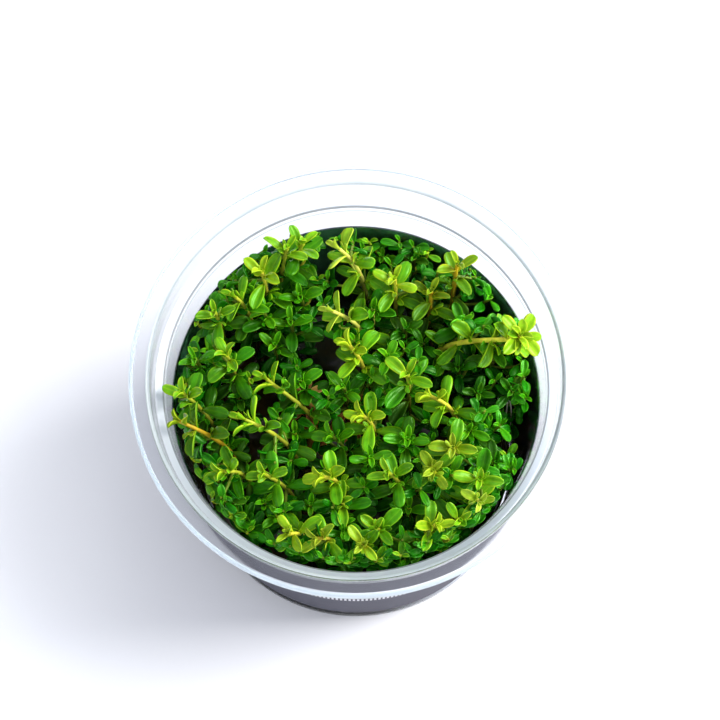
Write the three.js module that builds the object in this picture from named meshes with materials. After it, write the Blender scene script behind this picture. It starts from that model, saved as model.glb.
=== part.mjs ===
// Dwarf rotala shoots standing in culture gel, inside a clear round cup with a printed sleeve.
// Millimetres, +Z up, the cup's foot stands on z = 0 and its axis is the Z axis.
import * as THREE from 'three';

// Driving dimensions of the cup
const SIDES = 32;                 // facets round every turned piece
const FLANGE_RADIUS = 50.5;       // a common 101 mm cup
const FLANGE_TOP = 70.2;
const LIP_DROP = 2.2;             // how far the lip turns down below the flange's top
const WALL = 0.8;
const MOUTH_RADIUS = 46.4;        // inner edge of the flat flange
const LEDGE_HEIGHT = 63.5;        // the step inside the mouth, where a lid would sit
const LEDGE_OUTER = 45.0;
const LEDGE_INNER = 43.1;
const WALL_TOP = 61.0;            // where the tapered wall meets the ledge
const FOOT_RADIUS = 38.4;
const TAPER_START = 3.2;          // the wall's plain taper begins this high
const TAPER_RADIUS = 37.92;
const TAPER = 0.0756;             // growth of the radius per millimetre of height
const FLOOR_UNDER = 1.2;
const FLOOR_TOP = 2.1;

// The sleeve and the gel
const GAP = 0.3;                  // clear gap between pieces that touch
const SLEEVE_BOTTOM = 5.6;
const SLEEVE_TOP = 53.2;
const SLEEVE_THICKNESS = 0.3;
const GEL_TOP = 10.5;

// The shoots
const SHOOT_START = GEL_TOP + GAP;
const STEM_HALF_ROOT = 0.52;      // half the stem's width at the gel and at its tip
const STEM_HALF_TIP = 0.34;
const BUD = 0.9;                  // how far the bud stands above the top leaf pair
const FORK = 1.2;                 // height of the band on a stem that a side shoot grows from
const LEAF_WIDEST = 0.6;          // a leaf is widest at this share of its length
const LEAF_KEEL = 0.42;           // depth of the midrib's keel under the blade
const SLOT_X = 32.5;              // no leaf grows into this slot by the right-hand wall
const SLOT_Y = [-10.5, -3.5];

// Leaf pairs from the tip down: millimetres below the tip for a 6 mm leaf, length as a share of
// the shoot's leaf length, width as a share of the leaf's own length, and lift in degrees.
const PAIRS = [
  { below: 0.0, length: 0.62, width: 0.42, lift: 54 },
  { below: 2.0, length: 0.92, width: 0.47, lift: 32 },
  { below: 5.0, length: 1.06, width: 0.50, lift: 17 },
  { below: 9.2, length: 1.08, width: 0.51, lift: 7 },
  { below: 14.0, length: 1.04, width: 0.51, lift: 0 },
];

// Ways to move a leaf aside, tried in turn until it touches no other piece:
// turn and lift in degrees, and size.
const MOVES = [
  [0, 0, 1], [0, 14, 1], [0, -14, 1], [15, 0, 1], [-15, 0, 1], [0, 26, 0.95], [0, -26, 0.95],
  [28, 8, 0.95], [-28, 8, 0.95], [26, -12, 0.9], [-26, -12, 0.9], [0, 40, 0.85], [40, 12, 0.8],
  [-40, 12, 0.8], [0, 10, 0.72], [0, -12, 0.72], [20, 0, 0.65], [-20, 0, 0.65], [0, 30, 0.55],
];

// The shoots, each set out by hand from the photograph, the tallest and clearest first:
// foot x and y, tip x, y and z, how far up the stem stands straight before it leans (0 to 1),
// the slope of its tip in degrees, the compass turn of its top leaf pair, how many leaf pairs,
// and the length of its grown leaves.
const SHOOTS = [
  [15.0, 15.5, 37.0, 10.6, 66.0, 0.95, 76, -25, 5, 6.6],
  [9.5, 23.5, 9.0, 25.0, 63.5, 0.5, 80, 60, 5, 6.9],
  [22.0, 24.0, 23.1, 27.8, 65.0, 0.6, 75, 296, 5, 6.2],
  [3.0, 28.5, -3.6, 32.3, 64.0, 0.8, 32, 150, 5, 6.4],
  [3.5, 16.0, -5.2, 17.6, 63.0, 0.9, 38, 170, 5, 6.3],
  [12.5, 2.0, 11.7, 2.3, 63.0, 0.5, 85, 56, 5, 7.4],
  [24.0, -4.0, 16.7, -2.2, 61.5, 0.9, 35, 256, 5, 6.0],
  [-12.0, -12.0, -24.8, -7.8, 62.5, 0.9, 30, 158, 5, 6.5],
  [-5.0, -6.0, -20.1, 2.1, 61.0, 0.92, 45, 152, 5, 6.2],
  [-12.5, -21.0, -20.3, -20.3, 61.5, 0.8, 65, 97, 5, 6.5],
  [-25.0, -13.0, -39.3, -9.1, 65.5, 0.9, 40, 257, 5, 5.8],
  [-31.0, -4.0, -38.5, -2.6, 65.5, 0.7, 70, 75, 5, 6.6],
  [-30.0, 17.0, -31.8, 17.5, 62.5, 0.5, 80, 95, 5, 6.4],
  [-20.0, 25.0, -21.2, 26.5, 64.5, 0.5, 75, 51, 4, 6.8],
  [-23.5, 20.0, -27.3, 21.6, 61.5, 0.7, 45, 157, 4, 6.4],
  [-22.0, 22.5, -23.7, 23.8, 59.5, 0.5, 75, 36, 4, 6.2],
  [-27.0, 6.0, -29.1, 7.6, 61.5, 0.6, 70, 35, 5, 6.5],
  [-23.0, -17.0, -29.8, -19.3, 60.5, 0.8, 45, 109, 5, 6.3],
  [-10.0, -31.0, -14.9, -34.0, 61.0, 0.8, 55, 35, 4, 6.0],
  [-3.5, -33.0, -8.6, -35.3, 62.0, 0.8, 50, 116, 4, 6.1],
  [3.0, -33.5, 1.4, -36.6, 61.0, 0.6, 65, 40, 4, 5.8],
  [6.5, -31.0, 4.5, -32.6, 60.5, 0.6, 75, 47, 5, 6.3],
  [12.0, -21.0, 7.4, -20.4, 62.0, 0.75, 65, 105, 5, 6.8],
  [13.5, -32.0, 17.5, -32.3, 62.0, 0.7, 70, 94, 5, 6.2],
  [21.0, -28.5, 22.8, -30.8, 61.0, 0.6, 70, 40, 4, 6.0],
  [26.0, -22.5, 27.2, -27.0, 62.0, 0.7, 60, 65, 4, 6.0],
  [28.0, -18.0, 27.4, -22.3, 63.5, 0.6, 75, 80, 5, 7.0],
  [18.0, -16.0, 17.2, -19.5, 61.5, 0.6, 75, 37, 5, 6.4],
  [23.0, -11.5, 21.6, -14.8, 63.5, 0.6, 75, 85, 5, 6.7],
  [-3.5, -20.5, -7.3, -21.0, 61.5, 0.85, 40, 97, 4, 6.3],
  [-2.0, -25.5, -3.2, -26.0, 58.5, 0.5, 80, 0, 4, 6.5],
  [3.0, 6.5, -1.4, 9.6, 62.5, 0.75, 45, 235, 5, 6.5],
  [4.5, -7.0, 1.6, -6.5, 60.5, 0.7, 50, 260, 5, 6.5],
  [-15.0, 31.0, -11.9, 33.6, 64.0, 0.6, 60, 40, 4, 6.9],
  [-18.5, 28.5, -15.5, 32.0, 65.0, 0.6, 70, 60, 4, 6.7],
  [17.0, 22.5, 17.4, 23.8, 58.5, 0.5, 80, 60, 4, 6.2],
  [-19.5, 18.5, -20.9, 19.2, 57.5, 0.5, 75, 25, 4, 6.2],
  [-11.5, 23.0, -12.6, 23.8, 56.0, 0.5, 80, 100, 4, 6.5],
  [-14.0, 16.5, -14.9, 18.0, 55.0, 0.5, 80, 95, 4, 6.2],
  [6.5, 7.5, 7.2, 8.2, 57.5, 0.5, 80, 160, 4, 6.2],
  [-1.5, 0.5, -2.7, 1.5, 56.5, 0.5, 75, 50, 4, 6.2],
  [-11.5, 2.0, -12.6, 3.0, 56.5, 0.5, 80, 110, 4, 6.5],
  [-1.0, -11.0, -5.4, -9.5, 54.5, 0.7, 50, 85, 4, 6.6],
  [11.0, -11.0, 11.5, -11.0, 57.0, 0.5, 85, 85, 4, 6.3],
  [3.0, -15.0, 3.2, -15.6, 58.5, 0.5, 80, 100, 4, 6.0],
  [-34.5, 7.0, -36.3, 7.4, 60.0, 0.5, 75, 110, 4, 5.5],
  [-27.0, -23.0, -29.4, -23.6, 56.0, 0.6, 65, 75, 4, 5.9],
  [-23.0, -27.0, -24.8, -28.4, 53.0, 0.6, 70, 150, 3, 5.2],
  [27.0, -6.5, 25.5, -8.8, 56.5, 0.6, 70, 60, 4, 6.0],
  [30.5, -13.5, 31.5, -15.3, 53.0, 0.5, 80, 90, 4, 5.8],
  [31.0, 10.0, 31.5, 12.5, 57.0, 0.5, 75, 115, 4, 6.0],
  [34.5, 2.5, 35.6, 1.6, 53.0, 0.5, 80, 50, 3, 4.9],
  [27.5, 2.5, 28.0, 2.0, 50.5, 0.5, 80, 80, 3, 5.2],
  [24.0, 7.5, 23.5, 8.2, 51.0, 0.5, 80, 90, 3, 5.2],
  [13.0, 32.5, 13.8, 34.2, 53.0, 0.5, 80, 60, 3, 5.0],
  [-26.5, -1.0, -27.0, 1.0, 51.0, 0.5, 80, 20, 3, 5.2],
  [11.0, 15.0, 11.5, 16.5, 53.0, 0.5, 80, 120, 3, 5.6],
];

// Side shoots that fork off just above the gel: the number of the shoot they grow from,
// tip x, y and z, the compass turn of the top leaf pair, how many pairs, and leaf length.
const SIDE_SHOOTS = [
  [5, 4.0, 20.2, 57.0, 70, 3, 6.6],
  [3, 24.5, 17.8, 54.0, 20, 3, 6.4],
  [1, 20.5, 11.5, 48.0, -20, 2, 6.6],
  [8, -14.0, -7.4, 50.0, 100, 2, 6.4],
  [22, 8.4, -36.2, 49.0, 25, 2, 5.8],
  [25, 19.0, -33.6, 45.0, 0, 2, 5.2],
  [26, 26.3, -28.2, 50.0, 100, 2, 5.6],
  [48, -20.8, -23.6, 50.0, 30, 2, 5.8],
  [19, -17.8, -27.6, 54.0, 135, 2, 5.6],
  [10, -10.2, -25.2, 53.0, 90, 2, 5.8],
  [20, -2.6, -30.4, 56.5, 10, 2, 5.6],
  [23, 11.8, -25.6, 51.5, 80, 2, 6.0],
  [28, 21.4, -19.2, 57.5, 165, 2, 5.4],
  [50, 35.2, -16.2, 50.0, 60, 2, 4.6],
  [46, -33.6, 11.8, 52.0, 10, 2, 5.6],
  [12, -29.8, -8.4, 45.0, 100, 2, 6.0],
  [55, 6.2, 36.0, 49.0, 80, 2, 4.8],
  [37, -18.6, 13.2, 52.0, 60, 2, 6.2],
  [42, -13.2, 9.6, 46.0, 20, 2, 6.4],
];

// Outer radius of the cup's tapered wall at a height
function wallRadius(height) {
  return TAPER_RADIUS + TAPER * (height - TAPER_START);
}

// A solid turned about Z from a closed outline of [radius, height] points, listed with the
// material on the left. Points at radius 0 lie on the axis.
function turned(outline) {
  const positions = [];
  const faces = [];
  const columns = outline.map(([radius, height]) => {
    const count = radius === 0 ? 1 : SIDES;
    const column = [];
    for (let side = 0; side < count; side += 1) {
      const angle = (side / SIDES) * 2 * Math.PI;
      column.push(positions.length / 3);
      positions.push(radius * Math.cos(angle), radius * Math.sin(angle), height);
    }
    return column;
  });
  const at = (column, side) => column[side % column.length];
  const closing = outline[0][0] === 0 ? outline.length - 1 : outline.length;
  for (let row = 0; row < closing; row += 1) {
    const lower = columns[row];
    const upper = columns[(row + 1) % outline.length];
    for (let side = 0; side < SIDES; side += 1) {
      if (lower.length > 1) {
        faces.push(at(lower, side), at(lower, side + 1), at(upper, side + 1));
      }
      if (upper.length > 1) {
        faces.push(at(lower, side), at(upper, side + 1), at(upper, side));
      }
    }
  }
  return solid(positions, faces);
}

function solid(positions, faces) {
  const geometry = new THREE.BufferGeometry();
  geometry.setAttribute('position', new THREE.Float32BufferAttribute(positions, 3));
  geometry.setIndex(faces);
  geometry.computeVertexNormals();
  return geometry;
}

function piece(name, geometry, color, roughness, opacity = 1) {
  const material = new THREE.MeshStandardMaterial({ color, roughness, metalness: 0 });
  material.transparent = opacity < 1;
  material.opacity = opacity;
  const mesh = new THREE.Mesh(geometry, material);
  mesh.name = name;
  return mesh;
}

function cupGeometry() {
  const lipBottom = FLANGE_TOP - LIP_DROP;
  const flangeUnder = FLANGE_TOP - WALL - 0.1;
  return turned([
    [0, FLOOR_UNDER],
    [FOOT_RADIUS - 4.6, FLOOR_UNDER],
    [FOOT_RADIUS - 3.8, 0],
    [FOOT_RADIUS, 0],
    [FOOT_RADIUS, 2.0],
    [TAPER_RADIUS, TAPER_START],
    [wallRadius(WALL_TOP + 0.5), WALL_TOP + 0.5],
    [LEDGE_OUTER + 0.75, LEDGE_HEIGHT - 0.8],
    [MOUTH_RADIUS + 0.3, flangeUnder],
    [FLANGE_RADIUS - 0.75, flangeUnder],
    [FLANGE_RADIUS - 0.65, lipBottom],
    [FLANGE_RADIUS, lipBottom],
    [FLANGE_RADIUS, FLANGE_TOP - 0.5],
    [FLANGE_RADIUS - 0.4, FLANGE_TOP],
    [MOUTH_RADIUS, FLANGE_TOP],
    [MOUTH_RADIUS - 0.5, FLANGE_TOP - 0.7],
    [LEDGE_OUTER, LEDGE_HEIGHT],
    [LEDGE_INNER, LEDGE_HEIGHT - 0.7],
    [LEDGE_INNER - 1.1, LEDGE_HEIGHT - 1.4],
    [wallRadius(WALL_TOP) - WALL, WALL_TOP],
    [TAPER_RADIUS - WALL, TAPER_START],
    [TAPER_RADIUS - WALL - 0.8, FLOOR_TOP],
    [0, FLOOR_TOP],
  ]);
}

function sleeveGeometry() {
  const inner = (height) => wallRadius(height) + GAP;
  return turned([
    [inner(SLEEVE_BOTTOM), SLEEVE_BOTTOM],
    [inner(SLEEVE_BOTTOM) + SLEEVE_THICKNESS, SLEEVE_BOTTOM],
    [inner(SLEEVE_TOP) + SLEEVE_THICKNESS, SLEEVE_TOP],
    [inner(SLEEVE_TOP), SLEEVE_TOP],
  ]);
}

function gelGeometry() {
  const inset = WALL + GAP + 0.15;
  return turned([
    [0, FLOOR_TOP + GAP],
    [TAPER_RADIUS - inset - 0.9, FLOOR_TOP + GAP],
    [wallRadius(4) - inset, 4],
    [wallRadius(GEL_TOP) - inset, GEL_TOP],
    [0, GEL_TOP],
  ]);
}

// A repeatable run of numbers between -1 and 1
function chances(seed) {
  let state = seed;
  return () => {
    state = (state * 16807) % 2147483647;
    return (2 * state) / 2147483647 - 1;
  };
}

// The stem's centre line: it stands straight from the gel, leans over and turns up at its tip
function stemLine([footX, footY, tipX, tipY, tipZ, straight, slope]) {
  const foot = new THREE.Vector3(footX, footY, SHOOT_START);
  const tip = new THREE.Vector3(tipX, tipY, tipZ);
  const across = Math.hypot(tipX - footX, tipY - footY);
  const lean = new THREE.Vector3(tipX - footX, tipY - footY, 0).normalize();
  const reach = 4 + 0.35 * across;
  const angle = THREE.MathUtils.degToRad(slope);
  const back = lean.clone().multiplyScalar(Math.cos(angle));
  back.z = Math.sin(angle);
  const bend = new THREE.Vector3(footX, footY, SHOOT_START + straight * (tipZ - SHOOT_START));
  const curve = new THREE.CubicBezierCurve3(
    foot,
    bend,
    tip.clone().addScaledVector(back, -reach),
    tip,
  );
  return { curve, lean };
}

// A side shoot's centre line: it leaves its stem sideways and then rises to its tip
function sideLine(start, outward, tip) {
  const lean = tip.clone().sub(start).setZ(0);
  const across = lean.length();
  const bend = start.clone().addScaledVector(outward, 0.7 * across);
  bend.z += 0.3 * (tip.z - start.z);
  const under = tip.clone();
  under.z -= 0.4 * (tip.z - start.z);
  return { curve: new THREE.CubicBezierCurve3(start, bend, under, tip), lean: lean.normalize() };
}

// The parameter of the point that lies a distance below the tip, along the line
function parameterBelow(curve, distance) {
  const steps = 200;
  let walked = 0;
  let last = curve.getPoint(1);
  for (let step = steps - 1; step > 0; step -= 1) {
    const next = curve.getPoint(step / steps);
    walked += next.distanceTo(last);
    if (walked >= distance) return step / steps;
    last = next;
  }
  return 0;
}

// A cross-section's centre, its axis along the stem and its two side directions
function section(curve, lean, parameter, turn) {
  const along = curve.getTangent(parameter).normalize();
  const level = new THREE.Vector3(-lean.y, lean.x, 0);
  level.addScaledVector(along, -level.dot(along)).normalize();
  const rising = level.clone().cross(along);
  const roll = THREE.MathUtils.degToRad(turn) - Math.atan2(lean.y, lean.x);
  const first = rising.clone().multiplyScalar(Math.cos(roll));
  first.addScaledVector(level, Math.sin(roll));
  const second = along.clone().cross(first);
  return { centre: curve.getPoint(parameter), along, first, second };
}

// One leaf's points: it grows from the middle of one side of the stem
function leafShape(node, side, half, pair, grown, chance, move) {
  const outward = side % 2 === 0 ? node.first.clone() : node.second.clone();
  if (side > 1) outward.negate();
  const sideways = node.along.clone().cross(outward);
  const turn = THREE.MathUtils.degToRad(move[0] + 8 * chance.turn);
  const lift = THREE.MathUtils.degToRad(pair.lift + move[1] + 8 * chance.lift);
  const length = grown * pair.length * (1 + 0.08 * chance.length) * move[2];
  const heading = outward.clone().multiplyScalar(Math.cos(turn));
  heading.addScaledVector(sideways, Math.sin(turn));
  const across = node.along.clone().cross(heading);
  const blade = heading.clone().multiplyScalar(Math.cos(lift));
  blade.addScaledVector(node.along, Math.sin(lift));
  const upward = node.along.clone().multiplyScalar(Math.cos(lift));
  upward.addScaledVector(heading, -Math.sin(lift));
  const base = node.centre.clone().addScaledVector(outward, half);
  const middle = base.clone().addScaledVector(blade, LEAF_WIDEST * length);
  middle.addScaledVector(upward, 0.03 * length);
  const halfWidth = 0.5 * pair.width * length;
  return {
    length,
    middle,
    upward,
    base,
    left: middle.clone().addScaledVector(across, -halfWidth),
    right: middle.clone().addScaledVector(across, halfWidth),
    keel: middle.clone().addScaledVector(upward, -LEAF_KEEL),
    tip: base.clone().addScaledVector(blade, length).addScaledVector(upward, -0.06 * length),
  };
}

// Whether the segment from a to b passes through the triangle
function segmentHits(a, b, triangle) {
  const direction = b.clone().sub(a);
  const edge1 = triangle[1].clone().sub(triangle[0]);
  const edge2 = triangle[2].clone().sub(triangle[0]);
  const normal = direction.clone().cross(edge2);
  const scale = edge1.dot(normal);
  if (Math.abs(scale) < 1e-12) return false;
  const offset = a.clone().sub(triangle[0]);
  const u = offset.dot(normal) / scale;
  if (u < 0 || u > 1) return false;
  const other = offset.clone().cross(edge1);
  const v = direction.dot(other) / scale;
  if (v < 0 || u + v > 1) return false;
  const t = edge2.dot(other) / scale;
  return t >= 0 && t <= 1;
}

function trianglesMeet(one, two) {
  for (let k = 0; k < 3; k += 1) {
    if (segmentHits(one[k], one[(k + 1) % 3], two)) return true;
    if (segmentHits(two[k], two[(k + 1) % 3], one)) return true;
  }
  return false;
}

// A piece of a shoot kept for later tests: its triangles inside a bounding ball
function obstacle(triangles, owner, ring) {
  const centre = new THREE.Vector3();
  const points = triangles.flat();
  points.forEach((point) => centre.addScaledVector(point, 1 / points.length));
  const reach = Math.max(...points.map((point) => point.distanceTo(centre)));
  return { triangles, centre, reach, owner, ring };
}

function obstaclesMeet(one, two) {
  if (one.centre.distanceTo(two.centre) > one.reach + two.reach) return false;
  return one.triangles.some((a) => two.triangles.some((b) => trianglesMeet(a, b)));
}

// The leaf's outside as triangles, grown by a little clearance so that leaves stay apart
function leafObstacle(leaf, owner, ring) {
  const spread = (point, amount) => {
    const away = point.clone().sub(leaf.middle).normalize();
    return point.clone().addScaledVector(away, amount);
  };
  const start = leaf.base.clone().lerp(leaf.middle, 0.02);
  const left = spread(leaf.left, 0.2);
  const right = spread(leaf.right, 0.2);
  const tip = spread(leaf.tip, 0.2);
  const keel = leaf.keel.clone().addScaledVector(leaf.upward, -0.2);
  const roof = leaf.middle.clone().addScaledVector(leaf.upward, 0.3);
  const triangles = [
    [start, left, keel],
    [left, tip, keel],
    [tip, right, keel],
    [right, start, keel],
    [start, left, roof],
    [left, tip, roof],
    [tip, right, roof],
    [right, start, roof],
  ];
  return obstacle(triangles, owner, ring);
}

function stemObstacle(lower, upper, owner, ring) {
  const triangles = [];
  for (let k = 0; k < 4; k += 1) {
    const next = (k + 1) % 4;
    triangles.push([lower[k], lower[next], upper[next]], [lower[k], upper[next], upper[k]]);
  }
  return obstacle(triangles, owner, ring);
}

// Whether a point is inside the cup's free room, clear of the gel, the wall and the slot
function inFreeRoom(point) {
  const radius = Math.hypot(point.x, point.y);
  const facet = Math.cos(Math.PI / SIDES);
  let limit = LEDGE_INNER + 0.9;
  if (point.z < LEDGE_HEIGHT + 0.9) limit = (wallRadius(WALL_TOP) - WALL) * facet - 0.4;
  if (point.z < WALL_TOP) limit = (wallRadius(point.z) - WALL) * facet - 0.4;
  const inSlot = point.x > SLOT_X && point.y > SLOT_Y[0] && point.y < SLOT_Y[1];
  return radius < limit && point.z > SHOOT_START + 0.4 && point.z < FLANGE_TOP - 0.4 && !inSlot;
}

function leafFits(leaf, shape, obstacles) {
  const probes = [leaf.left, leaf.right, leaf.tip, leaf.keel, leaf.middle];
  probes.push(leaf.left.clone().lerp(leaf.tip, 0.5), leaf.right.clone().lerp(leaf.tip, 0.5));
  if (!probes.every(inFreeRoom)) return false;
  return !obstacles.some((other) => {
    const ownStem = other.owner === shape.owner && other.ring !== null;
    const beside = ownStem && Math.abs(other.ring - shape.ring) <= 1;
    return !beside && obstaclesMeet(shape, other);
  });
}

// A stem's rings at the given parameters; the last ones carry the leaf pairs
function ringsAt({ curve, lean }, parameters, turn, pairs) {
  return parameters.map((parameter, index) => {
    const node = section(curve, lean, parameter, turn);
    const pair = parameters.length - 1 - index;
    node.half = STEM_HALF_ROOT + (STEM_HALF_TIP - STEM_HALF_ROOT) * parameter;
    node.pair = pair < pairs ? pair : null;
    node.corners = [[1, -1], [1, 1], [-1, 1], [-1, -1]].map(([u, v]) =>
      node.centre
        .clone()
        .addScaledVector(node.first, u * node.half)
        .addScaledVector(node.second, v * node.half),
    );
    return node;
  });
}

function pairParameters(curve, pairs, grown) {
  const heights = PAIRS.slice(0, pairs).map(({ below }) => (below * grown) / 6);
  return heights.reverse().map((distance) => parameterBelow(curve, distance));
}

// A main stem: its foot, the band that a side shoot forks from, a bend if it leans, its nodes
function mainStem(row, forks) {
  const [, , , , , straight, , turn, pairs, grown] = row;
  const line = stemLine(row);
  const nodes = pairParameters(line.curve, pairs, grown);
  const length = line.curve.getLength();
  const plain = [0];
  if (forks) plain.push(parameterBelow(line.curve, length - FORK));
  if (straight > 0.5) plain.push(nodes[0] * 0.6);
  return { rings: ringsAt(line, [...plain, ...nodes], turn, pairs), grown };
}

// A side stem starts from the side of the main stem's fork band that faces its tip
function sideStem(main, row) {
  const [, tipX, tipY, tipZ, turn, pairs, grown] = row;
  const tip = new THREE.Vector3(tipX, tipY, tipZ);
  const [foot, band] = main.rings;
  const sides = [foot.first, foot.second, foot.first.clone().negate(), foot.second.clone().negate()];
  const toTip = tip.clone().sub(foot.centre).setZ(0);
  const side = sides.reduce((best, way, k) => (way.dot(toTip) > sides[best].dot(toTip) ? k : best), 0);
  const start = foot.centre.clone().lerp(band.centre, 0.5).addScaledVector(sides[side], foot.half);
  const line = sideLine(start, sides[side], tip);
  const nodes = pairParameters(line.curve, pairs, grown);
  const rings = ringsAt(line, [0.14, nodes[0] * 0.6, ...nodes], turn, pairs);
  return { rings, grown, side };
}

function budTip(top) {
  return top.centre.clone().addScaledVector(top.along, BUD);
}

// The leaves of a shoot, each in the first place where it touches nothing
function placeLeaves({ rings, grown }, owner, obstacles) {
  const chance = chances(owner * 7919 + 17);
  rings
    .slice()
    .reverse()
    .filter((node) => node.pair !== null)
    .forEach((node) => {
      node.leaves = [];
      for (const side of node.pair % 2 === 0 ? [0, 2] : [1, 3]) {
        const luck = { turn: chance(), lift: chance(), length: chance() };
        for (const move of MOVES) {
          const pair = PAIRS[node.pair];
          const leaf = leafShape(node, side, node.half, pair, grown, luck, move);
          const ring = rings.indexOf(node);
          const shape = leafObstacle(leaf, owner, ring);
          if (leafFits(leaf, shape, obstacles)) {
            node.leaves[side] = leaf;
            obstacles.push(leafObstacle(leaf, owner, null));
            break;
          }
        }
      }
    });
}

// One shoot as one closed solid: square stems whose leaves grow out of their sides
function shootGeometry(main, branch) {
  const positions = [];
  const faces = [];
  const point = (vector) => {
    positions.push(vector.x, vector.y, vector.z);
    return positions.length / 3 - 1;
  };

  const leafOnSide = (leaf, node, lower, upper, side) => {
    const next = (side + 1) % 4;
    const notch = point(leaf.base.clone().addScaledVector(node.along, -0.5));
    const left = point(leaf.left);
    const right = point(leaf.right);
    const keel = point(leaf.keel);
    const tip = point(leaf.tip);
    const [a, b] = [upper[side], upper[next]];
    faces.push(lower[side], lower[next], notch, lower[next], b, notch, lower[side], notch, a);
    faces.push(a, left, right, a, right, b, left, tip, right);
    faces.push(left, a, notch, left, notch, keel, b, right, notch, right, keel, notch);
    faces.push(tip, left, keel, right, tip, keel);
  };

  // Skins a stem upward from a first ring of points, leaving one side of its first band open
  const stem = (first, rings, openSide) => {
    let lower = first;
    rings.forEach((node, band) => {
      const upper = node.corners.map(point);
      for (let side = 0; side < 4; side += 1) {
        const next = (side + 1) % 4;
        const leaf = node.leaves ? node.leaves[side] : undefined;
        if (band === 0 && side === openSide) {
          const opening = [lower[side], lower[next], upper[next], upper[side]];
          stem(bestMatch(opening, branch.rings[0]), branch.rings, null);
        } else if (leaf) {
          leafOnSide(leaf, node, lower, upper, side);
        } else {
          faces.push(lower[side], lower[next], upper[next]);
          faces.push(lower[side], upper[next], upper[side]);
        }
      }
      lower = upper;
    });
    const top = rings[rings.length - 1];
    const bud = point(budTip(top));
    for (let side = 0; side < 4; side += 1) faces.push(lower[side], lower[(side + 1) % 4], bud);
  };

  // Starts the ring of an opening at the corner that twists the branch least
  const bestMatch = (opening, ring) => {
    const turns = [0, 1, 2, 3].map((shift) => opening.map((_, k) => opening[(k + shift) % 4]));
    const twist = (corners) =>
      corners.reduce((sum, corner, k) => {
        const place = new THREE.Vector3().fromArray(positions, corner * 3);
        return sum + place.distanceToSquared(ring.corners[k]);
      }, 0);
    return turns.reduce((best, corners) => (twist(corners) < twist(best) ? corners : best));
  };

  const root = main.rings[0].corners.map(point);
  faces.push(root[0], root[3], root[2], root[0], root[2], root[1]);
  stem(root, main.rings.slice(1), branch ? branch.side : null);
  return solid(positions, faces);
}

const SHOOT_COLOURS = ['#7fae22', '#5f9c1e', '#8fb82c', '#3f7d1c'];

function stemObstacles({ rings }, owner) {
  const top = rings[rings.length - 1];
  const bud = stemObstacle(top.corners, Array(4).fill(budTip(top)), owner, rings.length - 1);
  const bands = rings.slice(1).map((node, below) =>
    stemObstacle(rings[below].corners, node.corners, owner, below + 1),
  );
  return [...bands, bud];
}

function buildShoots() {
  const branchOf = (index) => SIDE_SHOOTS.find(([parent]) => parent === index + 1);
  const mains = SHOOTS.map((row, index) => mainStem(row, Boolean(branchOf(index))));
  const branches = mains.map((main, index) => {
    const row = branchOf(index);
    return row ? sideStem(main, row) : null;
  });
  const stems = [...mains, ...branches].map((stem, index) => ({ stem, owner: index + 1 }));
  const grown = stems.filter(({ stem }) => stem);
  const obstacles = grown.flatMap(({ stem, owner }) => stemObstacles(stem, owner));
  grown.forEach(({ stem, owner }) => placeLeaves(stem, owner, obstacles));
  return mains.map((main, index) => {
    const name = `shoot_${String(index + 1).padStart(2, '0')}`;
    const color = SHOOT_COLOURS[index % SHOOT_COLOURS.length];
    return piece(name, shootGeometry(main, branches[index]), color, 0.5);
  });
}

const rotala = new THREE.Group();
rotala.add(piece('cup', cupGeometry(), '#eef4f6', 0.08, 0.3));
rotala.add(piece('label_sleeve', sleeveGeometry(), '#585862', 0.55));
rotala.add(piece('culture_gel', gelGeometry(), '#2a2419', 0.15));
rotala.add(...buildShoots());

export default rotala;
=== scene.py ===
"""Dwarf rotala shoots rooted in culture gel, inside a clear round cup with a dark sleeve."""
import math
import random

import bmesh
import bpy
import numpy as np
from mathutils import Matrix, Vector
from mathutils.kdtree import KDTree


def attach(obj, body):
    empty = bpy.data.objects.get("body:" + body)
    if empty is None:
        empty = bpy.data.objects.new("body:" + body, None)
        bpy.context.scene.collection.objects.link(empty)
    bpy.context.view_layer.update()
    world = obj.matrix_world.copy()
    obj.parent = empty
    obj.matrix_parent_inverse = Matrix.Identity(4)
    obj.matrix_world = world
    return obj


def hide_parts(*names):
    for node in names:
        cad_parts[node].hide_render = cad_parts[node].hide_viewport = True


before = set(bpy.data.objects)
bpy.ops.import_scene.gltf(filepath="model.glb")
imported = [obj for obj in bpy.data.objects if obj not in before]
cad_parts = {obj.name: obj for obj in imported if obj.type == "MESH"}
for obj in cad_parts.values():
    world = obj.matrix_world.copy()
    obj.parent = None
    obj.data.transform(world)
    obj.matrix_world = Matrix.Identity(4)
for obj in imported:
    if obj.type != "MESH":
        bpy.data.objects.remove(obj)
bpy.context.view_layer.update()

MM = 0.001


def new_object(name, data):
    """An object that stands in the scene"""
    made = bpy.data.objects.new(name, data)
    bpy.context.scene.collection.objects.link(made)
    return made


# The view: the photographer stood over the front of the cup and looked steeply down
VIEW_DISTANCE = 0.600
VIEW_TILT = math.radians(71.3)
VIEW_ROLL = math.radians(-0.26)
VIEW_TARGET = Vector((0, 0, 0.060))
VIEW_RIGHT_BY = 0.00095
VIEW_UP_BY = 0.00655
PHOTO_WIDTH = 720
FOCAL_PIXELS = 2660
SENSOR_WIDTH = 36

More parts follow.
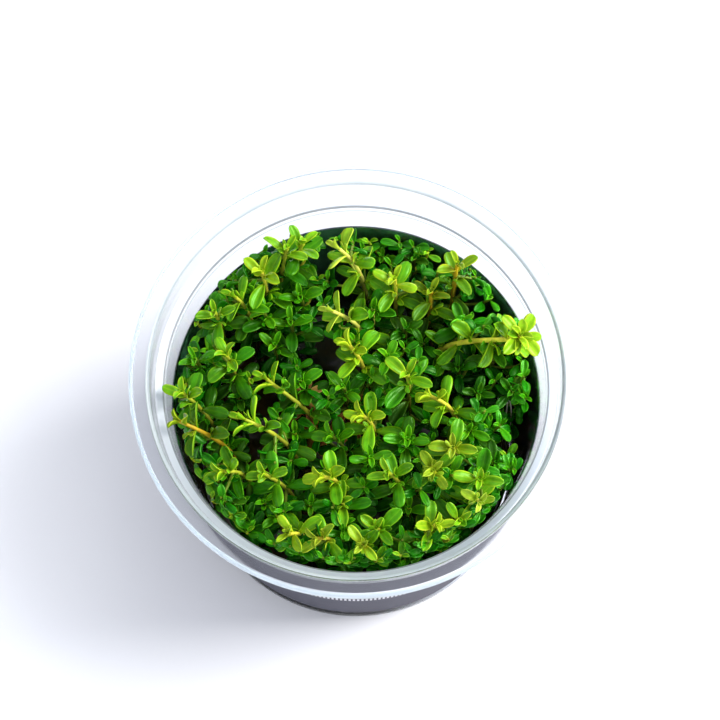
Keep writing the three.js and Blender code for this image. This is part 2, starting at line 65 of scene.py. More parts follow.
ahead = Vector((0, math.cos(VIEW_TILT), -math.sin(VIEW_TILT)))
right = Vector((1, 0, 0))
up = Vector((0, math.sin(VIEW_TILT), math.cos(VIEW_TILT)))
camera_data = bpy.data.cameras.new("photo_camera")
camera_data.sensor_width = SENSOR_WIDTH
camera_data.lens = FOCAL_PIXELS / PHOTO_WIDTH * SENSOR_WIDTH
camera_data.clip_start = 0.01
camera = new_object("photo_camera", camera_data)
stand = VIEW_TARGET - ahead * VIEW_DISTANCE + right * VIEW_RIGHT_BY + up * VIEW_UP_BY
turn_of_camera = Matrix((right, up, -ahead)).transposed().to_4x4()
camera.matrix_world = Matrix.Translation(stand) @ turn_of_camera @ Matrix.Rotation(VIEW_ROLL, 4, "Z")
bpy.context.scene.camera = camera

# The plain white table under the cup
TABLE_HALF = 3


def finished_mesh(bm, name):
    """The mesh that was worked on, ready for an object"""
    mesh = bpy.data.meshes.new(name)
    bm.to_mesh(mesh)
    bm.free()
    return mesh


def new_material(name):
    """A material, with its node tree and its main shader"""
    material = bpy.data.materials.new(name)
    material.use_nodes = True
    return material, material.node_tree, material.node_tree.nodes["Principled BSDF"]


def set_inputs(tree, node, inputs):
    """Sets each input of a node to a value, or joins it to another node's output"""
    for name, given in inputs.items():
        if isinstance(given, bpy.types.NodeSocket):
            tree.links.new(given, node.inputs[name])
        else:
            node.inputs[name].default_value = given


bm = bmesh.new()
bmesh.ops.create_grid(bm, x_segments=1, y_segments=1, size=TABLE_HALF)
table = new_object("table", finished_mesh(bm, "table"))
table_paint, tree, paint = new_material("white_table")
set_inputs(tree, paint, {"Base Color": (0.93, 0.93, 0.97, 1), "Roughness": 0.8})
table.data.materials.append(table_paint)

# Soft white light all round, and one broad lamp high on the right behind the cup
world = bpy.data.worlds.new("studio")
world.use_nodes = True
sky = world.node_tree.nodes["Background"]
set_inputs(world.node_tree, sky, {"Color": (0.91, 0.94, 1.0, 1), "Strength": 0.85})
bpy.context.scene.world = world
bpy.context.scene.view_settings.view_transform = "Standard"
LAMP_PLACE = Vector((0.70, 0.17, 0.62))
LAMP_AIM = Vector((0, 0, 0.05))
lamp_data = bpy.data.lights.new("key_lamp", "AREA")
lamp_data.size = 0.50
lamp_data.energy = 13.0
lamp_data.color = (1.0, 0.99, 0.97)
lamp = new_object("key_lamp", lamp_data)
facing = (LAMP_AIM - LAMP_PLACE).to_track_quat("-Z", "Y")
lamp.matrix_world = Matrix.Translation(LAMP_PLACE) @ facing.to_matrix().to_4x4()

# The cup: one injection moulding of clear polypropylene, with a foot ring, a tapered wall,
# a step where a lid would sit, and a flat flange whose lip turns down.
SIDES_OF_CUP = 160
FLANGE_RADIUS = 50.5
FLANGE_TOP = 70.2
FLANGE_THICKNESS = 0.9
LIP_DEPTH = 2.2
LIP_THICKNESS = 0.65
MOUTH_RADIUS = 46.4
LEDGE_HEIGHT = 63.5
LEDGE_OUTER = 45.0
LEDGE_INNER = 43.1
LEDGE_FALL = 0.7
WALL = 0.8
WALL_TOP = 61.0
FOOT_RADIUS = 38.4
FOOT_WIDTH = 3.8
FOOT_HEIGHT = 2.0
TAPER_START = 3.2
TAPER_RADIUS = 37.92
TAPER = 0.0756
FLOOR_UNDER = 1.2
FLOOR_TOP = 2.1
CORNER_ROUNDING = 0.35

# Above the sleeve the wall is thinner, and it flares out a little up to the ledge
WALL_AT_TOP = 0.45
FLARE_START = 54.5
FLARE = 1.0


def wall_radius(height):
    """The outer radius of the cup's tapered wall, in millimetres"""
    return TAPER_RADIUS + TAPER * (height - TAPER_START)


def rounded(corners, radius, steps=3):
    """The outline with each inner corner replaced by a short curve"""
    points = [corners[0]]
    for before, corner, after in zip(corners, corners[1:], corners[2:]):
        corner, before, after = Vector(corner), Vector(before), Vector(after)
        reach = min(radius, (before - corner).length * 0.4, (after - corner).length * 0.4)
        start = corner + (before - corner).normalized() * reach
        end = corner + (after - corner).normalized() * reach
        for step in range(steps + 1):
            share = step / steps
            points.append(tuple(start.lerp(corner, share).lerp(corner.lerp(end, share), share)))
    points.append(corners[-1])
    return points


def turned_piece(name, outline, closed, sides):
    """A round piece spun about the Z axis from an outline of radius and height in millimetres"""
    bm = bmesh.new()
    verts = [bm.verts.new((radius * MM, 0, height * MM)) for radius, height in outline]
    edges = [bm.edges.new(pair) for pair in zip(verts, verts[1:])]
    if closed:
        edges.append(bm.edges.new((verts[-1], verts[0])))
    bmesh.ops.spin(bm, geom=verts + edges, axis=(0, 0, 1), cent=(0, 0, 0), angle=2 * math.pi,
                   steps=sides, use_merge=True)
    bmesh.ops.remove_doubles(bm, verts=bm.verts[:], dist=1e-6)
    bmesh.ops.recalc_face_normals(bm, faces=bm.faces[:])
    for face in bm.faces:
        face.smooth = True
    made = new_object(name, finished_mesh(bm, name))
    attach(made, "root")
    return made


flange_under = FLANGE_TOP - FLANGE_THICKNESS
lip_bottom = FLANGE_TOP - LIP_DEPTH

# The outline, from the middle of the underside out round the lip and back down the inside
cup_corners = [
    (0, FLOOR_UNDER),
    (FOOT_RADIUS - FOOT_WIDTH - WALL, FLOOR_UNDER),
    (FOOT_RADIUS - FOOT_WIDTH, 0),
    (FOOT_RADIUS, 0),
    (FOOT_RADIUS, FOOT_HEIGHT),
    (TAPER_RADIUS, TAPER_START),
    (wall_radius(FLARE_START), FLARE_START),
    (wall_radius(WALL_TOP + 0.5) + FLARE, WALL_TOP + 0.5),
    (LEDGE_OUTER + 0.75, LEDGE_HEIGHT - WALL),
    (MOUTH_RADIUS + 0.3, flange_under),
    (FLANGE_RADIUS - LIP_THICKNESS - 0.1, flange_under),
    (FLANGE_RADIUS - LIP_THICKNESS, lip_bottom),
    (FLANGE_RADIUS, lip_bottom),
    (FLANGE_RADIUS, FLANGE_TOP - 0.5),
    (FLANGE_RADIUS - 0.4, FLANGE_TOP),
    (MOUTH_RADIUS, FLANGE_TOP),
    (MOUTH_RADIUS - 0.5, FLANGE_TOP - 0.7),
    (LEDGE_OUTER, LEDGE_HEIGHT),
    (LEDGE_INNER, LEDGE_HEIGHT - LEDGE_FALL),
    (wall_radius(WALL_TOP) + FLARE - WALL_AT_TOP, WALL_TOP),
    (wall_radius(FLARE_START) - WALL_AT_TOP, FLARE_START),
    (TAPER_RADIUS - WALL, TAPER_START),
    (TAPER_RADIUS - 2 * WALL, FLOOR_TOP),
    (0, FLOOR_TOP),
]
cup = turned_piece("clear_cup", rounded(cup_corners, CORNER_ROUNDING), False, SIDES_OF_CUP)


def add_node(tree, kind, inputs, **settings):
    """A new node in the tree, with its settings and its inputs"""
    node = tree.nodes.new(kind)
    for name, setting in settings.items():
        setattr(node, name, setting)
    set_inputs(tree, node, inputs)
    return node


def object_place(tree):
    """Where a point of the surface lies in the piece's own space"""
    return tree.nodes.new("ShaderNodeTexCoord").outputs["Object"]


def remapped(tree, value, given, wanted):
    """A value spread from the given range over the wanted one"""
    return add_node(tree, "ShaderNodeMapRange", {
        "Value": value, "From Min": given[0], "From Max": given[1], "To Min": wanted[0], "To Max": wanted[1],
    }).outputs["Result"]


def mixed(tree, share, one, two, way="MIX"):
    """Two colours mixed"""
    return add_node(tree, "ShaderNodeMix", {"Factor": share, "A": one, "B": two}, data_type="RGBA",
                    blend_type=way).outputs["Result"]


def let_light_in(tree, shader, tint):
    """Lets the light that makes shadows straight through the plastic, with a slight tint"""
    see_through = add_node(tree, "ShaderNodeBsdfTransparent", {"Color": tint})
    ray = tree.nodes.new("ShaderNodeLightPath")
    either = add_node(tree, "ShaderNodeMixShader", {
        "Fac": ray.outputs["Is Shadow Ray"], 1: shader.outputs["BSDF"], 2: see_through.outputs["BSDF"],
    })
    set_inputs(tree, tree.nodes["Material Output"], {"Surface": either.outputs["Shader"]})


# Clouds, which several materials share: soft noise, and two colours mixed by it, the dark one
# where the noise is under Low and the light one where it is over High
clouds = bpy.data.node_groups.new("clouds", "ShaderNodeTree")
for socket_name in ("Scale", "Detail", "Low", "High"):
    clouds.interface.new_socket(socket_name, in_out="INPUT", socket_type="NodeSocketFloat")
for socket_name in ("Dark", "Light"):
    clouds.interface.new_socket(socket_name, in_out="INPUT", socket_type="NodeSocketColor")
clouds.interface.new_socket("Noise", in_out="OUTPUT", socket_type="NodeSocketFloat")
clouds.interface.new_socket("Colour", in_out="OUTPUT", socket_type="NodeSocketColor")
asked = clouds.nodes.new("NodeGroupInput").outputs
cloud_noise = add_node(clouds, "ShaderNodeTexNoise", {
    "Vector": object_place(clouds), "Scale": asked["Scale"], "Detail": asked["Detail"],
})
light_share = remapped(clouds, cloud_noise.outputs["Fac"], (asked["Low"], asked["High"]), (0, 1))
add_node(clouds, "NodeGroupOutput", {
    "Noise": cloud_noise.outputs["Fac"],
    "Colour": mixed(clouds, light_share, asked["Dark"], asked["Light"]),
})


def add_clouds(tree, inputs):
    """The clouds placed in a material, with its own values"""
    return add_node(tree, "ShaderNodeGroup", inputs, node_tree=clouds).outputs


PLASTIC_IOR = 1.47
clear_plastic, tree, plastic = new_material("clear_polypropylene")
haze = add_clouds(tree, {"Scale": 60, "Detail": 4})["Noise"]
ripple = add_node(tree, "ShaderNodeBump", {
    "Height": add_clouds(tree, {"Scale": 130, "Detail": 2})["Noise"], "Strength": 0.12, "Distance": 0.0002,
})
set_inputs(tree, plastic, {
    "Base Color": (0.87, 0.89, 0.92, 1), "Transmission Weight": 1.0, "IOR": PLASTIC_IOR,
    "Specular IOR Level": 0.3, "Roughness": remapped(tree, haze, (0.35, 0.75), (0.05, 0.16)),
    "Normal": ripple.outputs["Normal"],
})
let_light_in(tree, plastic, (0.93, 0.95, 0.97, 1))
cup.data.materials.append(clear_plastic)

# The ledge, the flange near the mouth, the shoulder under the ledge and the lip are frosted by
# the mould, so they scatter light and look milky
frosted_plastic, tree, frost = new_material("frosted_polypropylene")
grit = add_clouds(tree, {"Scale": 800, "Detail": 2})["Noise"]
set_inputs(tree, frost, {
    "Base Color": (0.74, 0.82, 0.88, 1), "Transmission Weight": 0.7, "IOR": PLASTIC_IOR,
    "Roughness": remapped(tree, grit, (0, 1), (0.3, 0.55)),
})
let_light_in(tree, frost, (0.85, 0.9, 0.92, 1))
cup.data.materials.append(frosted_plastic)

# The rounded edges of the mouth and the ledge are painted grey-blue, as painted light for the
# light that runs inside the plastic and leaves it there, and painted shade makes them darker at the ledge
LEDGE_EDGE_SHADE = 0.3
edge_plastic, tree, edge_shine = new_material("edge_polypropylene")
# Painted light: the grey-blue glow of the edges, in cloudy shades
edge_glow = add_clouds(tree, {
    "Scale": 90, "Detail": 3, "Low": 0.35, "High": 0.7,
    "Dark": (0.60, 0.68, 0.74, 1), "Light": (0.79, 0.86, 0.91, 1),
})
edge_place = add_node(tree, "ShaderNodeSeparateXYZ", {"Vector": object_place(tree)})
# Painted shade: the edge colour darkens from under the flange down to the ledge
painted_shade_below = remapped(tree, edge_place.outputs["Z"], (LEDGE_HEIGHT * MM, (FLANGE_TOP - 1) * MM),
                        (LEDGE_EDGE_SHADE, 1.0))
set_inputs(tree, edge_shine, {
    "Base Color": mixed(tree, 1.0, edge_glow["Colour"], painted_shade_below, "MULTIPLY"),
    "Transmission Weight": 0.55, "IOR": PLASTIC_IOR, "Roughness": 0.35,
})
cup.data.materials.append(edge_plastic)

# Where the frosting and the grey-blue edges are: rings, each by its inner and outer radius and
# its lowest and highest point
FROSTED_RINGS = (
    (43.4, 44.9, LEDGE_HEIGHT - 0.9, FLANGE_TOP + 1),
    (46.2, 48.2, FLANGE_TOP - 0.2, FLANGE_TOP + 1),
    (41.6, 42.9, WALL_TOP, LEDGE_HEIGHT - LEDGE_FALL),
    (49.7, FLANGE_RADIUS + 1, LEDGE_HEIGHT, FLANGE_TOP + 1),
)
EDGE_RINGS = (
    (45.8, 46.75, 69.4, 70.3),
    (42.7, 43.5, 62.0, 63.6),
)
for polygon in cup.data.polygons:
    reach = polygon.center.xy.length / MM
    height = polygon.center.z / MM
    for paint, rings in ((1, FROSTED_RINGS), (2, EDGE_RINGS)):
        for inner, outer, low, high in rings:
            if inner < reach < outer and low < height < high:
                polygon.material_index = paint
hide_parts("cup")

# The sleeve: a satin printed band of dark slate paper, wrapped round the tapered wall
# and held by its own tightness.
SLEEVE_GAP = 0.3
SLEEVE_BOTTOM = 5.6
SLEEVE_TOP = 53.2
SLEEVE_THICKNESS = 0.3
sleeve_outline = [
    (wall_radius(SLEEVE_BOTTOM) + SLEEVE_GAP, SLEEVE_BOTTOM),
    (wall_radius(SLEEVE_BOTTOM) + SLEEVE_GAP + SLEEVE_THICKNESS, SLEEVE_BOTTOM),
    (wall_radius(SLEEVE_TOP) + SLEEVE_GAP + SLEEVE_THICKNESS, SLEEVE_TOP),
    (wall_radius(SLEEVE_TOP) + SLEEVE_GAP, SLEEVE_TOP),
]
sleeve = turned_piece("printed_sleeve", sleeve_outline, True, SIDES_OF_CUP)

# Its cut edges stay sharp
for polygon in sleeve.data.polygons:
    polygon.use_smooth = abs(polygon.normal.z) < 0.5
sleeve_edges = bmesh.new()
sleeve_edges.from_mesh(sleeve.data)
for edge in sleeve_edges.edges:
    edge.smooth = edge.calc_face_angle(0) < math.radians(30)
sleeve_edges.to_mesh(sleeve.data)
sleeve_edges.free()

sleeve_paper, tree, paper = new_material("dark_sleeve_paper")
ink = add_clouds(tree, {
    "Scale": 220, "Detail": 6, "Low": 0.3, "High": 0.7,
    "Dark": (0.078, 0.078, 0.103, 1), "Light": (0.090, 0.090, 0.118, 1),
})

# A plain row of short white bars is printed on the sleeve's front
BAR_PITCH = math.radians(1.43)
BAR_SHARE = 0.55
BAR_ROW_HALF = math.radians(17)
BARS_FROM = 22.6
BARS_TO = 25.2


def number_step(tree, operation, first, second=0):
    """The outcome of one sum on sockets or plain values"""
    return add_node(tree, "ShaderNodeMath", {0: first, 1: second}, operation=operation).outputs["Value"]


axes = add_node(tree, "ShaderNodeSeparateXYZ", {"Vector": object_place(tree)}).outputs
round_way = number_step(tree, "ARCTAN2", axes["X"], number_step(tree, "MULTIPLY", axes["Y"], -1))
past_bar_start = number_step(tree, "FLOORED_MODULO", round_way, BAR_PITCH)
printed = number_step(tree, "LESS_THAN", past_bar_start, BAR_PITCH * BAR_SHARE)
for mask in (
    number_step(tree, "LESS_THAN", number_step(tree, "ABSOLUTE", round_way), BAR_ROW_HALF),
    number_step(tree, "GREATER_THAN", axes["Z"], BARS_FROM * MM),
    number_step(tree, "LESS_THAN", axes["Z"], BARS_TO * MM),
):
    printed = number_step(tree, "MULTIPLY", printed, mask)
tooth = add_node(tree, "ShaderNodeBump", {
    "Height": add_clouds(tree, {"Scale": 900, "Detail": 2})["Noise"], "Strength": 0.1, "Distance": 0.0001,
})
set_inputs(tree, paper, {
    "Base Color": mixed(tree, printed, ink["Colour"], (0.70, 0.70, 0.73, 1)), "Roughness": 0.5,
    "Specular IOR Level": 0.06, "Normal": tooth.outputs["Normal"],
})
sleeve.data.materials.append(sleeve_paper)

# Its inner face, seen through the clear wall, is painted dark green, as painted light that the leaves throw
# on it
inner_face, tree, lining = new_material("sleeve_inner_face")
painted_leaf_light = add_clouds(tree, {
    "Scale": 110, "Detail": 4, "Low": 0.35, "High": 0.7,
    "Dark": (0.02, 0.12, 0.045, 1), "Light": (0.09, 0.30, 0.12, 1),
})
set_inputs(tree, lining, {
    "Base Color": painted_leaf_light["Colour"], "Roughness": 0.6, "Specular IOR Level": 0.1,
})
sleeve.data.materials.append(inner_face)
for polygon in sleeve.data.polygons:
    if polygon.normal.xy.dot(polygon.center.xy.normalized()) < -0.5:
        polygon.material_index = 1
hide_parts("label_sleeve")

# The culture gel: a plug of stiff clear-brown jelly poured into the cup, set round the
# stems. Its top is uneven. Dead leaf and roots stain it brown in patches, and its near-black
# is painted shade for the deep gaps between the stems.
GEL_TOP = 10.5
GEL_INSET = WALL + 0.45
GEL_BOTTOM = FLOOR_TOP + 0.3
GEL_DISH = GEL_TOP - 0.6
GEL_SIDES = 96
WAVE_HEIGHT = 0.12
WAVES_WITHIN = 35.5
gel_outline = [
    (0, GEL_BOTTOM),
    (TAPER_RADIUS - GEL_INSET - 0.9, GEL_BOTTOM),
    (wall_radius(4) - GEL_INSET, 4.0),
    (wall_radius(GEL_TOP) - GEL_INSET, GEL_TOP),
    (wall_radius(GEL_TOP) - GEL_INSET - 1.2, GEL_TOP - 0.5),
]
gel_outline += [(radius, GEL_DISH) for radius in range(34, 0, -3)]
gel_outline += [(0, GEL_DISH)]
gel = turned_piece("gel_plug", gel_outline, False, GEL_SIDES)
gel_chance = random.Random(5)
gel_waves = [(gel_chance.uniform(0.15, 0.5), gel_chance.uniform(0, 6.3), gel_chance.uniform(0, 6.3))
             for wave in range(6)]
for vertex in gel.data.vertices:
    if vertex.co.z > (GEL_TOP - 1) * MM and vertex.co.xy.length < WAVES_WITHIN * MM:
        x, y = vertex.co.x / MM, vertex.co.y / MM
        rise = sum(math.sin(size * (x * math.cos(way) + y * math.sin(way)) + shift)
                   for size, way, shift in gel_waves)
        vertex.co.z += WAVE_HEIGHT * rise * MM

gel_jelly, tree, jelly = new_material("culture_gel")
# Near black with brown patches: the brown is dead leaf and root, the near-black is painted shade
gel_stain_and_shade = add_clouds(tree, {
    "Scale": 140, "Detail": 7, "Low": 0.32, "High": 0.72,
    "Dark": (0.012, 0.014, 0.004, 1), "Light": (0.13, 0.075, 0.02, 1),
})
set_inputs(tree, jelly, {"Base Color": gel_stain_and_shade["Colour"], "Roughness": 0.12})
gel.data.materials.append(gel_jelly)
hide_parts("culture_gel")

# The shoots: each stem stands in the gel and carries crossed pairs of small leaves. They are
# laid out by the same values and rules as the solids, so each leaf is on its own solid leaf.
SHOOT_START = GEL_TOP + 0.3
STEM_HALF_ROOT = 0.52
STEM_HALF_TIP = 0.34
FORK = 1.2
ARC_STEPS = 200

# Leaf pairs from the tip down: millimetres below the tip for a 6 mm leaf, length as a share
# of the shoot's leaf length, width as a share of the leaf's length, and lift in degrees.
PAIRS = [
    (0.0, 0.62, 0.42, 54),
    (2.0, 0.92, 0.47, 32),
    (5.0, 1.06, 0.50, 17),
    (9.2, 1.08, 0.51, 7),
    (14.0, 1.04, 0.51, 0),
]
PAIRS_LEAF = 6

# Ways in which a leaf was moved aside to touch nothing: turn and lift in degrees, and size
MOVES = [
    (0, 0, 1), (0, 14, 1), (0, -14, 1), (15, 0, 1), (-15, 0, 1), (0, 26, 0.95), (0, -26, 0.95),
    (28, 8, 0.95), (-28, 8, 0.95), (26, -12, 0.9), (-26, -12, 0.9), (0, 40, 0.85), (40, 12, 0.8),
    (-40, 12, 0.8), (0, 10, 0.72), (0, -12, 0.72), (20, 0, 0.65), (-20, 0, 0.65), (0, 30, 0.55),
]

# The shoots, each set out from the photograph, the tallest and clearest first: foot
# x and y, tip x, y and z, how far up the stem stands straight, the slope of its tip, the
# turn of its top pair, how many pairs, the length of its grown leaves, and its colouring.
SHOOTS = [
    (15.0, 15.5, 37.0, 10.6, 66.0, 0.95, 76, -25, 5, 6.6, "gold"),
    (9.5, 23.5, 9.0, 25.0, 63.5, 0.5, 80, 60, 5, 6.9, "lemon"),
    (22.0, 24.0, 23.1, 27.8, 65.0, 0.6, 75, 296, 5, 6.2, "olive"),
    (3.0, 28.5, -3.6, 32.3, 64.0, 0.8, 32, 150, 5, 6.4, "pale"),
    (3.5, 16.0, -5.2, 17.6, 63.0, 0.9, 38, 170, 5, 6.3, "pale"),
    (12.5, 2.0, 11.7, 2.3, 63.0, 0.5, 85, 56, 5, 7.4, "lime"),
    (24.0, -4.0, 16.7, -2.2, 61.5, 0.9, 35, 256, 5, 6.0, "lemon"),
    (-12.0, -12.0, -24.8, -7.8, 62.5, 0.9, 30, 158, 5, 6.5, "lime"),
    (-5.0, -6.0, -20.1, 2.1, 61.0, 0.92, 45, 152, 5, 6.2, "lime"),
    (-12.5, -21.0, -20.3, -20.3, 61.5, 0.8, 65, 97, 5, 6.5, "lime"),
    (-25.0, -13.0, -39.3, -9.1, 65.5, 0.9, 40, 257, 5, 5.8, "olive"),
    (-31.0, -4.0, -38.5, -2.6, 65.5, 0.7, 70, 75, 5, 6.6, "lime"),
    (-30.0, 17.0, -31.8, 17.5, 62.5, 0.5, 80, 95, 5, 6.4, "lime"),
    (-20.0, 25.0, -21.2, 26.5, 64.5, 0.5, 75, 51, 4, 6.8, "lemon"),
    (-23.5, 20.0, -27.3, 21.6, 61.5, 0.7, 45, 157, 4, 6.4, "lime"),
    (-22.0, 22.5, -23.7, 23.8, 59.5, 0.5, 75, 36, 4, 6.2, "green"),
    (-27.0, 6.0, -29.1, 7.6, 61.5, 0.6, 70, 35, 5, 6.5, "lime"),
    (-23.0, -17.0, -29.8, -19.3, 60.5, 0.8, 45, 109, 5, 6.3, "lime"),
    (-10.0, -31.0, -14.9, -34.0, 61.0, 0.8, 55, 35, 4, 6.0, "lemon"),
    (-3.5, -33.0, -8.6, -35.3, 62.0, 0.8, 50, 116, 4, 6.1, "blush"),
    (3.0, -33.5, 1.4, -36.6, 61.0, 0.6, 65, 40, 4, 5.8, "blush"),
    (6.5, -31.0, 4.5, -32.6, 60.5, 0.6, 75, 47, 5, 6.3, "lime"),
    (12.0, -21.0, 7.4, -20.4, 62.0, 0.75, 65, 105, 5, 6.8, "lime"),
    (13.5, -32.0, 17.5, -32.3, 62.0, 0.7, 70, 94, 5, 6.2, "lemon"),
    (21.0, -28.5, 22.8, -30.8, 61.0, 0.6, 70, 40, 4, 6.0, "lime"),
    (26.0, -22.5, 27.2, -27.0, 62.0, 0.7, 60, 65, 4, 6.0, "pale"),
    (28.0, -18.0, 27.4, -22.3, 63.5, 0.6, 75, 80, 5, 7.0, "lime"),
    (18.0, -16.0, 17.2, -19.5, 61.5, 0.6, 75, 37, 5, 6.4, "blush"),
    (23.0, -11.5, 21.6, -14.8, 63.5, 0.6, 75, 85, 5, 6.7, "blush"),
    (-3.5, -20.5, -7.3, -21.0, 61.5, 0.85, 40, 97, 4, 6.3, "lemon"),
    (-2.0, -25.5, -3.2, -26.0, 58.5, 0.5, 80, 0, 4, 6.5, "lime"),
    (3.0, 6.5, -1.4, 9.6, 62.5, 0.75, 45, 235, 5, 6.5, "lemon"),
    (4.5, -7.0, 1.6, -6.5, 60.5, 0.7, 50, 260, 5, 6.5, "lemon"),
    (-15.0, 31.0, -11.9, 33.6, 64.0, 0.6, 60, 40, 4, 6.9, "lime"),
    (-18.5, 28.5, -15.5, 32.0, 65.0, 0.6, 70, 60, 4, 6.7, "lime"),
    (17.0, 22.5, 17.4, 23.8, 58.5, 0.5, 80, 60, 4, 6.2, "olive"),
    (-19.5, 18.5, -20.9, 19.2, 57.5, 0.5, 75, 25, 4, 6.2, "green"),
    (-11.5, 23.0, -12.6, 23.8, 56.0, 0.5, 80, 100, 4, 6.5, "green"),
    (-14.0, 16.5, -14.9, 18.0, 55.0, 0.5, 80, 95, 4, 6.2, "green"),
    (6.5, 7.5, 7.2, 8.2, 57.5, 0.5, 80, 160, 4, 6.2, "green"),
    (-1.5, 0.5, -2.7, 1.5, 56.5, 0.5, 75, 50, 4, 6.2, "green"),
    (-11.5, 2.0, -12.6, 3.0, 56.5, 0.5, 80, 110, 4, 6.5, "green"),
    (-1.0, -11.0, -5.4, -9.5, 54.5, 0.7, 50, 85, 4, 6.6, "green"),
    (11.0, -11.0, 11.5, -11.0, 57.0, 0.5, 85, 85, 4, 6.3, "green"),
    (3.0, -15.0, 3.2, -15.6, 58.5, 0.5, 80, 100, 4, 6.0, "green"),
    (-34.5, 7.0, -36.3, 7.4, 60.0, 0.5, 75, 110, 4, 5.5, "green"),
    (-27.0, -23.0, -29.4, -23.6, 56.0, 0.6, 65, 75, 4, 5.9, "deep_shaded"),
    (-23.0, -27.0, -24.8, -28.4, 53.0, 0.6, 70, 150, 3, 5.2, "deep_shaded"),
    (27.0, -6.5, 25.5, -8.8, 56.5, 0.6, 70, 60, 4, 6.0, "green"),
    (30.5, -13.5, 31.5, -15.3, 53.0, 0.5, 80, 90, 4, 5.8, "deep_shaded"),
    (31.0, 10.0, 31.5, 12.5, 57.0, 0.5, 75, 115, 4, 6.0, "green"),
    (34.5, 2.5, 35.6, 1.6, 53.0, 0.5, 80, 50, 3, 4.9, "deep_shaded"),
    (27.5, 2.5, 28.0, 2.0, 50.5, 0.5, 80, 80, 3, 5.2, "deep_shaded"),
    (24.0, 7.5, 23.5, 8.2, 51.0, 0.5, 80, 90, 3, 5.2, "deep_shaded"),
    (13.0, 32.5, 13.8, 34.2, 53.0, 0.5, 80, 60, 3, 5.0, "deep_shaded"),
    (-26.5, -1.0, -27.0, 1.0, 51.0, 0.5, 80, 20, 3, 5.2, "deep_shaded"),
    (11.0, 15.0, 11.5, 16.5, 53.0, 0.5, 80, 120, 3, 5.6, "deep_shaded"),
]

# Side shoots: the number of the shoot they grow from, tip x, y and z, the turn of the top
# pair, how many pairs, and leaf length.
SIDE_SHOOTS = [
    (5, 4.0, 20.2, 57.0, 70, 3, 6.6),
    (3, 24.5, 17.8, 54.0, 20, 3, 6.4),
    (1, 20.5, 11.5, 48.0, -20, 2, 6.6),
    (8, -14.0, -7.4, 50.0, 100, 2, 6.4),
    (22, 8.4, -36.2, 49.0, 25, 2, 5.8),
    (25, 19.0, -33.6, 45.0, 0, 2, 5.2),
    (26, 26.3, -28.2, 50.0, 100, 2, 5.6),
    (48, -20.8, -23.6, 50.0, 30, 2, 5.8),
    (19, -17.8, -27.6, 54.0, 135, 2, 5.6),
    (10, -10.2, -25.2, 53.0, 90, 2, 5.8),
    (20, -2.6, -30.4, 56.5, 10, 2, 5.6),
    (23, 11.8, -25.6, 51.5, 80, 2, 6.0),
    (28, 21.4, -19.2, 57.5, 165, 2, 5.4),
    (50, 35.2, -16.2, 50.0, 60, 2, 4.6),
    (46, -33.6, 11.8, 52.0, 10, 2, 5.6),
    (12, -29.8, -8.4, 45.0, 100, 2, 6.0),
    (55, 6.2, 36.0, 49.0, 80, 2, 4.8),
    (37, -18.6, 13.2, 52.0, 60, 2, 6.2),
    (42, -13.2, 9.6, 46.0, 20, 2, 6.4),
]


def unit(vector):
    return vector / np.linalg.norm(vector)


class StemLine:
    """A stem's centre line, one cubic curve, and the level direction in which it leans"""

    def __init__(self, points, lean):
        self.points = [np.array(point, float) for point in points]
        self.lean = unit(np.array([lean[0], lean[1], 0.0]))

    def at(self, share):
        a, b, c, d = self.points
        rest = 1 - share
        return rest**3 * a + 3 * rest**2 * share * b + 3 * rest * share**2 * c + share**3 * d

    def along(self, share):
        a, b, c, d = self.points
        rest = 1 - share
        return unit(rest**2 * (b - a) + 2 * rest * share * (c - b) + share**2 * (d - c))

    def length(self):
        places = [self.at(step / ARC_STEPS) for step in range(ARC_STEPS + 1)]
        return sum(np.linalg.norm(after - before) for before, after in zip(places, places[1:]))

    def below(self, distance):
        """The share of the line at which a point lies a distance below the tip"""
        walked = 0
        last = self.at(1)
        for step in range(ARC_STEPS - 1, 0, -1):
            here = self.at(step / ARC_STEPS)
            walked += np.linalg.norm(here - last)
            if walked >= distance:
                return step / ARC_STEPS
            last = here
        return 0

    def node(self, share, turn):
        """The stem's centre, direction and two side directions, where a leaf pair can grow"""
        along = self.along(share)
        level = np.array([-self.lean[1], self.lean[0], 0.0])
        level = unit(level - along * level.dot(along))
        rising = np.cross(level, along)
        roll = math.radians(turn) - math.atan2(self.lean[1], self.lean[0])
        first = rising * math.cos(roll) + level * math.sin(roll)
        second = np.cross(along, first)
        half = STEM_HALF_ROOT + (STEM_HALF_TIP - STEM_HALF_ROOT) * share
        return {"centre": self.at(share), "along": along, "first": first, "second": second, "half": half}


# How strongly the curve of a stem is drawn along its tip, in millimetres, and how much more for
# each millimetre of lean; and how a side shoot's is drawn out and up at its fork and up at its tip
TIP_REACH = 4
REACH_OF_LEAN = 0.35
SIDE_REACH = 0.7
SIDE_RISE = 0.3
SIDE_UNDER_TIP = 0.4


def main_line(row):
    """The line of a shoot's main stem: straight up from the gel, then over toward its tip"""
    foot_x, foot_y, tip_x, tip_y, tip_z, straight, slope = row[:7]
    foot = np.array([foot_x, foot_y, SHOOT_START])
    tip = np.array([tip_x, tip_y, tip_z])
    reach = TIP_REACH + REACH_OF_LEAN * math.hypot(tip_x - foot_x, tip_y - foot_y)
    lean = unit(np.array([tip_x - foot_x, tip_y - foot_y, 0.0]))
    back = lean * math.cos(math.radians(slope))
    back[2] = math.sin(math.radians(slope))
    bend = np.array([foot_x, foot_y, SHOOT_START + straight * (tip_z - SHOOT_START)])
    return StemLine([foot, bend, tip - back * reach, tip], lean)


